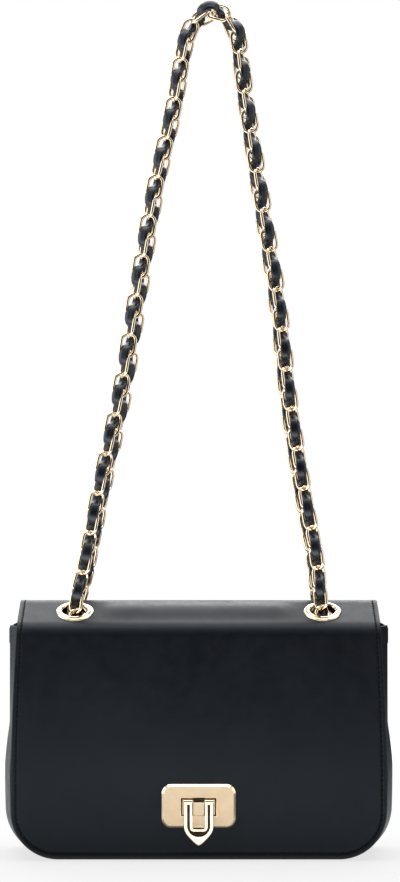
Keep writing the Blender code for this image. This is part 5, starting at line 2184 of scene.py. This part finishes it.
    def outward_directions(self) -> list[Vector]:
        """Carry a direction that is square to the curve round the loop.

        Returns:
            The direction at each point, away from the bag's middle plane.
        """
        count = len(self.points) - 1
        found = [Vector((0, -1, 0))]
        for index in range(count + 1):
            along = (self.points[(index + 1) % count] - self.points[(index - 1) % count]).normalized()
            found.append((found[-1] - along * found[-1].dot(along)).normalized())
        return found[1:]

    def at(self, station: float) -> tuple[Vector, Vector, Vector]:
        """Find a place on the loop.

        Args:
            station: how far along it lies, counted in links.

        Returns:
            The place, its direction and the turned outward direction.
        """
        low, share = step_at(self.lengths, (station * self.step) % self.total)
        along = (self.points[low + 1] - self.points[low]).normalized()
        turn = (self.turns[low] + (self.turns[low + 1] - self.turns[low]) * share) * self.turn
        out = self.outward[low].lerp(self.outward[low + 1], share)
        out = (out - along * out.dot(along)).normalized()
        place = self.points[low].lerp(self.points[low + 1], share)
        return place, along, Matrix.Rotation(turn, 3, along) @ out

    def half_bend(self, index: int) -> float:
        """Cosine of half the angle between the two links that meet at a contact."""
        before, here, after = (self.at(index + shift)[0] for shift in (-1, 0, 1))
        return math.sqrt((1 + (here - before).normalized().dot((after - here).normalized())) / 2)

    def link_pattern(self) -> Piece:
        """Make one oval link of round wire, from a torus whose halves are drawn apart.

        Returns:
            The link, with its length along +X and its middle at the origin.
        """
        bend = (self.link_width - self.wire) / 2
        piece = Bench.add("link_pattern", bpy.ops.mesh.primitive_torus_add, major_radius=bend,
                          minor_radius=self.wire / 2, major_segments=self.link_steps,
                          minor_segments=self.wire_sides)
        Bench.drawn_out(piece, (self.step + self.wire) / 2 - bend)
        return Bench.dress(Bench.shade(piece, self.link_angle), self.finishes.polished)

    def link_place(self, index: int) -> Matrix:
        """Find a link's place between its two contacts, leaning one way or the other by turns.

        Args:
            index: its number along the loop.

        Returns:
            The matrix that puts the pattern there.
        """
        start, end = self.at(index)[0], self.at(index + 1)[0]
        _, _, out = self.at(index + 0.5)
        along = (end - start).normalized()
        out = (out - along * out.dot(along)).normalized()
        normal = Matrix.Rotation(self.tilt if index % 2 else -self.tilt, 3, along) @ out
        turn = Matrix((along, normal.cross(along), normal)).transposed().to_4x4()
        return Matrix.Translation((start + end) / 2) @ turn

    def chain(self, name: str, first: int, last: int, pattern: Piece) -> None:
        """A run of links from its first contact to its last, copied from a pattern."""
        links = [Bench.copied(pattern, f"{name}_{index}", self.link_place(index))
                 for index in range(first, last)]
        self.shape.place(Bench.joined(f"chain_links_{name}", links), Body.STRAP, Slot.GOLD, f"chain_{name}")

    def lace_section(self, width: float, thickness: float, crease: float) -> list[Pair]:
        """The lace's section: a folded strip with round sides and a crease where it closes.

        Args:
            width: across the lace.
            thickness: of the folded strip.
            crease: depth of the crease on its outer side.

        Returns:
            The section's points in order, as (across, out) pairs.
        """
        points = []
        for side in range(self.lace_sides):
            angle = FULL_TURN * side / self.lace_sides
            x, y = (math.copysign(abs(value) ** self.lace_power, value) * size / 2
                    for value, size in ((math.cos(angle), width), (math.sin(angle), thickness)))
            fold = bump((x - width * self.crease_place) / (width * self.crease_half))
            points.append((x, y - crease * fold * (1 if y > 0 else -self.crease_under)))
        return points

    def lace_ring(self, station: float) -> list[Vector]:
        """A ring of the lace, wide where it rides over the chain and pinched where it dives through a link.

        Args:
            station: its place on the loop.

        Returns:
            The ring's points.
        """
        place, along, out = self.at(station)
        lift = self.ride + self.lace_bend_lift * (1 - self.half_bend(round(station)))
        wave = -math.cos(math.pi * station)
        side = math.copysign(abs(wave) ** self.side_power, wave)
        over = abs(wave) ** self.over_power
        slope = math.sin(math.pi * station) * math.pi * lift / self.step
        tilt = (out - along * slope * self.lace_follow).normalized()
        slim = 1 - self.lace_squeeze * bump((place.z - self.low_z) / self.squeeze_reach)
        width = (self.lace_pinch + (self.lace_width - self.lace_pinch) * over) * slim
        thick = (self.lace_thin + (self.lace_thick - self.lace_thin) * over) * slim
        middle = place + out * (side * lift + math.copysign(self.lace_swell * over / 2, side)) * slim
        across = along.cross(out)
        section = self.lace_section(width, thick, self.lace_crease * over)
        if side > 0:
            return [middle + across * x + tilt * y for x, y in section]
        return [middle + across * x - tilt * y for x, y in reversed(section)]

    def lace(self, name: str, first: int, last: int) -> None:
        """A run of the lace, which laps a little over the next one.

        Args:
            name: the run's name.
            first: its first contact.
            last: its last contact.
        """
        count = (last - first) * self.lace_steps
        start, length = first - self.lace_lap, last - first + 2 * self.lace_lap
        rings = [self.lace_ring(start + length * index / count) for index in range(count + 1)]
        piece = Bench.dress(self.tube(f"lace_leather_{name}", rings), self.finishes.lace)
        self.shape.place(piece, Body.STRAP, Slot.LACE, f"lace_{name}")

    def tube(self, name: str, rings: list[list[Vector]]) -> Piece:
        """A closed tube through rings of points, from a grid that is wrapped round and filled at its ends.

        Args:
            name: the piece's name.
            rings: the rings in order, with as many points in each.

        Returns:
            The tube.
        """
        piece = Bench.add(name, bpy.ops.mesh.primitive_grid_add, x_subdivisions=len(rings[0]),
                          y_subdivisions=len(rings) - 1, size=2)
        points = [point for ring in rings for point in (*ring, ring[0])]
        for vertex, point in zip(piece.data.vertices, points, strict=True):
            vertex.co = point
        Bench.outward(piece)
        Bench.edit(piece, "VERT", lambda place: True, bpy.ops.mesh.fill_holes, sides=0)
        return Bench.shade(Bench.outward(piece), self.lace_angle)

    def contact_near(self, place: Vector) -> int:
        """Index of the contact nearest to a place on the route."""
        best = min(range(len(self.points) - 1), key=lambda index: (self.points[index] - place).length)
        return round(self.lengths[best] / self.step)

    def build(self) -> None:
        """Make the chain and the lace, each in six runs round the loop."""
        low = self.low_z + self.split_rise
        crown_z = self.low_z + self.rise * self.split_rise_share
        crown_x = self.split_across_share * self.half
        marks = [
            ("front_left", (self.left, -self.strand_y, low)),
            ("front_right", (crown_x, -self.crown_y, crown_z)),
            ("inside_right", (self.right, -self.strand_y, low)),
            ("back_right", (self.right, self.strand_y, low)),
            ("back_left", (crown_x, self.crown_y, crown_z)),
            ("inside_left", (self.left, self.strand_y, low)),
        ]
        stations = [self.contact_near(Vector(place)) for _, place in marks]
        stations[0] = min(stations[0], stations[0] - self.count, key=abs)
        stations.append(stations[0] + self.count)
        pattern = self.link_pattern()
        for (name, _), first, last in zip(marks, stations, stations[1:]):
            self.chain(name, first, last, pattern)
            self.lace(name, first, last)
        Bench.drop(pattern)
        log.info("strap: %d links, %.3f m round the loop", self.count, self.total)


@dataclass
class Studio:
    """The camera at the photograph's angle, the pale floor and the soft lights."""

    shape: BagShape
    pixel: float = 0.6314 * MM
    image_width: int = 400
    image_height: int = 882
    base_row: float = 860.5
    middle_column: float = 198.7
    distance: float = 2.0
    sensor: float = 36.0
    clip: Pair = (0.1, 30.0)
    floor_radius: float = 0.80
    floor_sides: int = 96
    floor_drop: float = 0.4 * MM
    floor_colour: Triple = (0.14, 0.14, 0.143)
    # Glow of the floor's middle, below the white of its rim: painted shade round the bag.
    painted_shade_glow: float = 0.73
    fade_start: float = 0.45
    # Zones of stronger or weaker glow that only reflections see: painted reflections and painted light for
    # the bag.
    painted_reflection_zones: tuple[tuple[str, float, float, float], ...] = (
        ("Y", -0.12, -0.17, 3.8), ("Y", -0.32, -0.60, 0.08), ("X", 0.16, 0.30, 0.15),
    )
    surround: float = 1.0
    dark_sides: tuple[tuple[Triple, float, float, float], ...] = (
        ((0.0, -1.0, 0.12), 0.01, 14.0, 55.0),
        ((0.75, 0.66, 0.0), 0.05, 25.0, 55.0),
        ((-0.75, 0.66, 0.0), 0.90, 25.0, 55.0),
    )
    target: Triple = (0.0, 0.0, 0.15)
    softboxes: tuple[tuple[str, Triple, Pair, float], ...] = (
        ("overhead", (0.0, 0.20, 1.6), (1.8, 1.5), 3.0),
        ("behind", (0.0, 1.5, 1.30), (2.2, 0.9), 4.0),
        ("left", (-1.3, -0.1, 0.4), (1.0, 1.3), 1.7),
        ("right", (1.3, -0.1, 0.4), (1.0, 1.3), 0.8),
    )

    def camera(self) -> None:
        """A level camera that frames the bag as the photograph does."""
        x = (self.image_width / 2 - self.middle_column) * self.pixel
        z = (self.base_row - self.image_height / 2) * self.pixel
        data = bpy.data.cameras.new("camera")
        data.sensor_width = self.sensor
        data.lens = self.sensor * self.distance / (self.image_height * self.pixel)
        data.clip_start, data.clip_end = self.clip
        camera = bpy.data.objects.new("camera", data)
        camera.location = self.shape.origin + Vector((x, -self.shape.half_depth - self.distance, z))
        camera.rotation_euler = (math.pi / 2, 0, 0)
        bpy.context.scene.collection.objects.link(camera)
        bpy.context.scene.camera = camera

    def floor(self) -> None:
        """A round pale floor that glows as painted light and fades into the white around it, with zones that
        only reflections see.
        """
        place = self.shape.origin + Vector((0, 0, -self.floor_drop))
        piece = Bench.add("floor", bpy.ops.mesh.primitive_circle_add, vertices=self.floor_sides,
                          radius=self.floor_radius, fill_type="NGON", location=place)
        paint = Paint("floor_white")
        shift = paint.add("Mapping", "Vector", {"Vector": paint.place, "Location": -place})
        reach = paint.add("VectorMath", "Value", {0: shift}, operation="LENGTH")
        start = self.floor_radius * self.fade_start
        # The glow near the bag is lower than at the rim: painted shade round the bag.
        plain = paint.carried(reach, start, self.floor_radius, self.painted_shade_glow, 1.0)
        glow = plain
        # Scale the glow zone by zone for the painted reflections.
        for axis, near, far, level in self.painted_reflection_zones:
            along = paint.add("SeparateXYZ", axis, {"Vector": shift})
            glow = paint.mixed(glow, paint.carried(along, near, far, 1.0, level), "MULTIPLY")
        seen = paint.add("LightPath", "Is Camera Ray", {})
        choice = paint.add("Mix", "Result", {"Factor": seen, "A": glow, "B": plain})
        paint.set(Base_Color=(*self.floor_colour, 1.0), Roughness=0.9, Specular_IOR_Level=0.0,
                  Emission_Color=WHITE, Emission_Strength=choice)
        paint.material.diffuse_color = (*self.floor_colour, 1.0)
        Bench.dress(piece, paint.material)

    def lights(self) -> None:
        """Softboxes above, behind and at both sides, each with the same radiance all over its face."""
        target = self.shape.origin + Vector(self.target)
        for name, shift, size, brightness in self.softboxes:
            data = bpy.data.lights.new(name, "AREA")
            data.shape = "RECTANGLE"
            data.size, data.size_y = size
            data.energy = brightness * math.pi * size[0] * size[1]
            light = bpy.data.objects.new(name, data)
            light.location = place = self.shape.origin + Vector(shift)
            light.rotation_euler = (target - place).to_track_quat("-Z", "Y").to_euler()
            bpy.context.scene.collection.objects.link(light)

    def world(self) -> None:
        """White around with dark sides for the reflections, and plain white to the camera."""
        world = bpy.data.worlds.new("studio")
        world.use_nodes = True
        nodes = Nodes(world.node_tree)
        nodes.tree.nodes.clear()
        where = nodes.add("TexCoord", "Generated", {})
        levels = []
        for side, darkest, core, reach in self.dark_sides:
            toward = nodes.add("VectorMath", "Value", {0: where, 1: Vector(side).normalized()},
                               operation="DOT_PRODUCT")
            edge, middle = (math.cos(math.radians(angle)) for angle in (reach, core))
            levels.append(nodes.carried(toward, edge, middle, self.surround, darkest))
        level = levels[0]
        for other in levels[1:]:
            level = nodes.mixed(level, other, "MULTIPLY")
        around = nodes.add("Background", "Background", {"Strength": level})
        seen = nodes.add("Background", "Background", {"Color": WHITE})
        camera = nodes.add("LightPath", "Is Camera Ray", {})
        mix = nodes.add("MixShader", "Shader", {0: camera, 1: around, 2: seen})
        nodes.feed(nodes.tree.nodes.new("ShaderNodeOutputWorld"), {"Surface": mix})
        bpy.context.scene.world = world
        bpy.context.scene.view_settings.view_transform = "Standard"

    def build(self) -> None:
        """Set up the studio."""
        self.camera()
        self.floor()
        self.lights()
        self.world()
        log.info("studio")


def main() -> None:
    """Build the bag's looks and the studio around it."""
    logging.basicConfig(level=logging.INFO, format="%(name)s: %(message)s")
    shape = BagShape()
    Studio(shape).build()
    finishes = Finishes()
    hardware = EyeletSet(shape, finishes)
    lock = FlipLock(shape, finishes)
    shell = Shell(shape, finishes)
    shell.build(hardware, lock)
    Inside(shape, finishes).build(shell, lock)
    hardware.build()
    lock.build()
    Strap(shape, finishes, hardware).build()


if __name__ == "__main__":
    main()
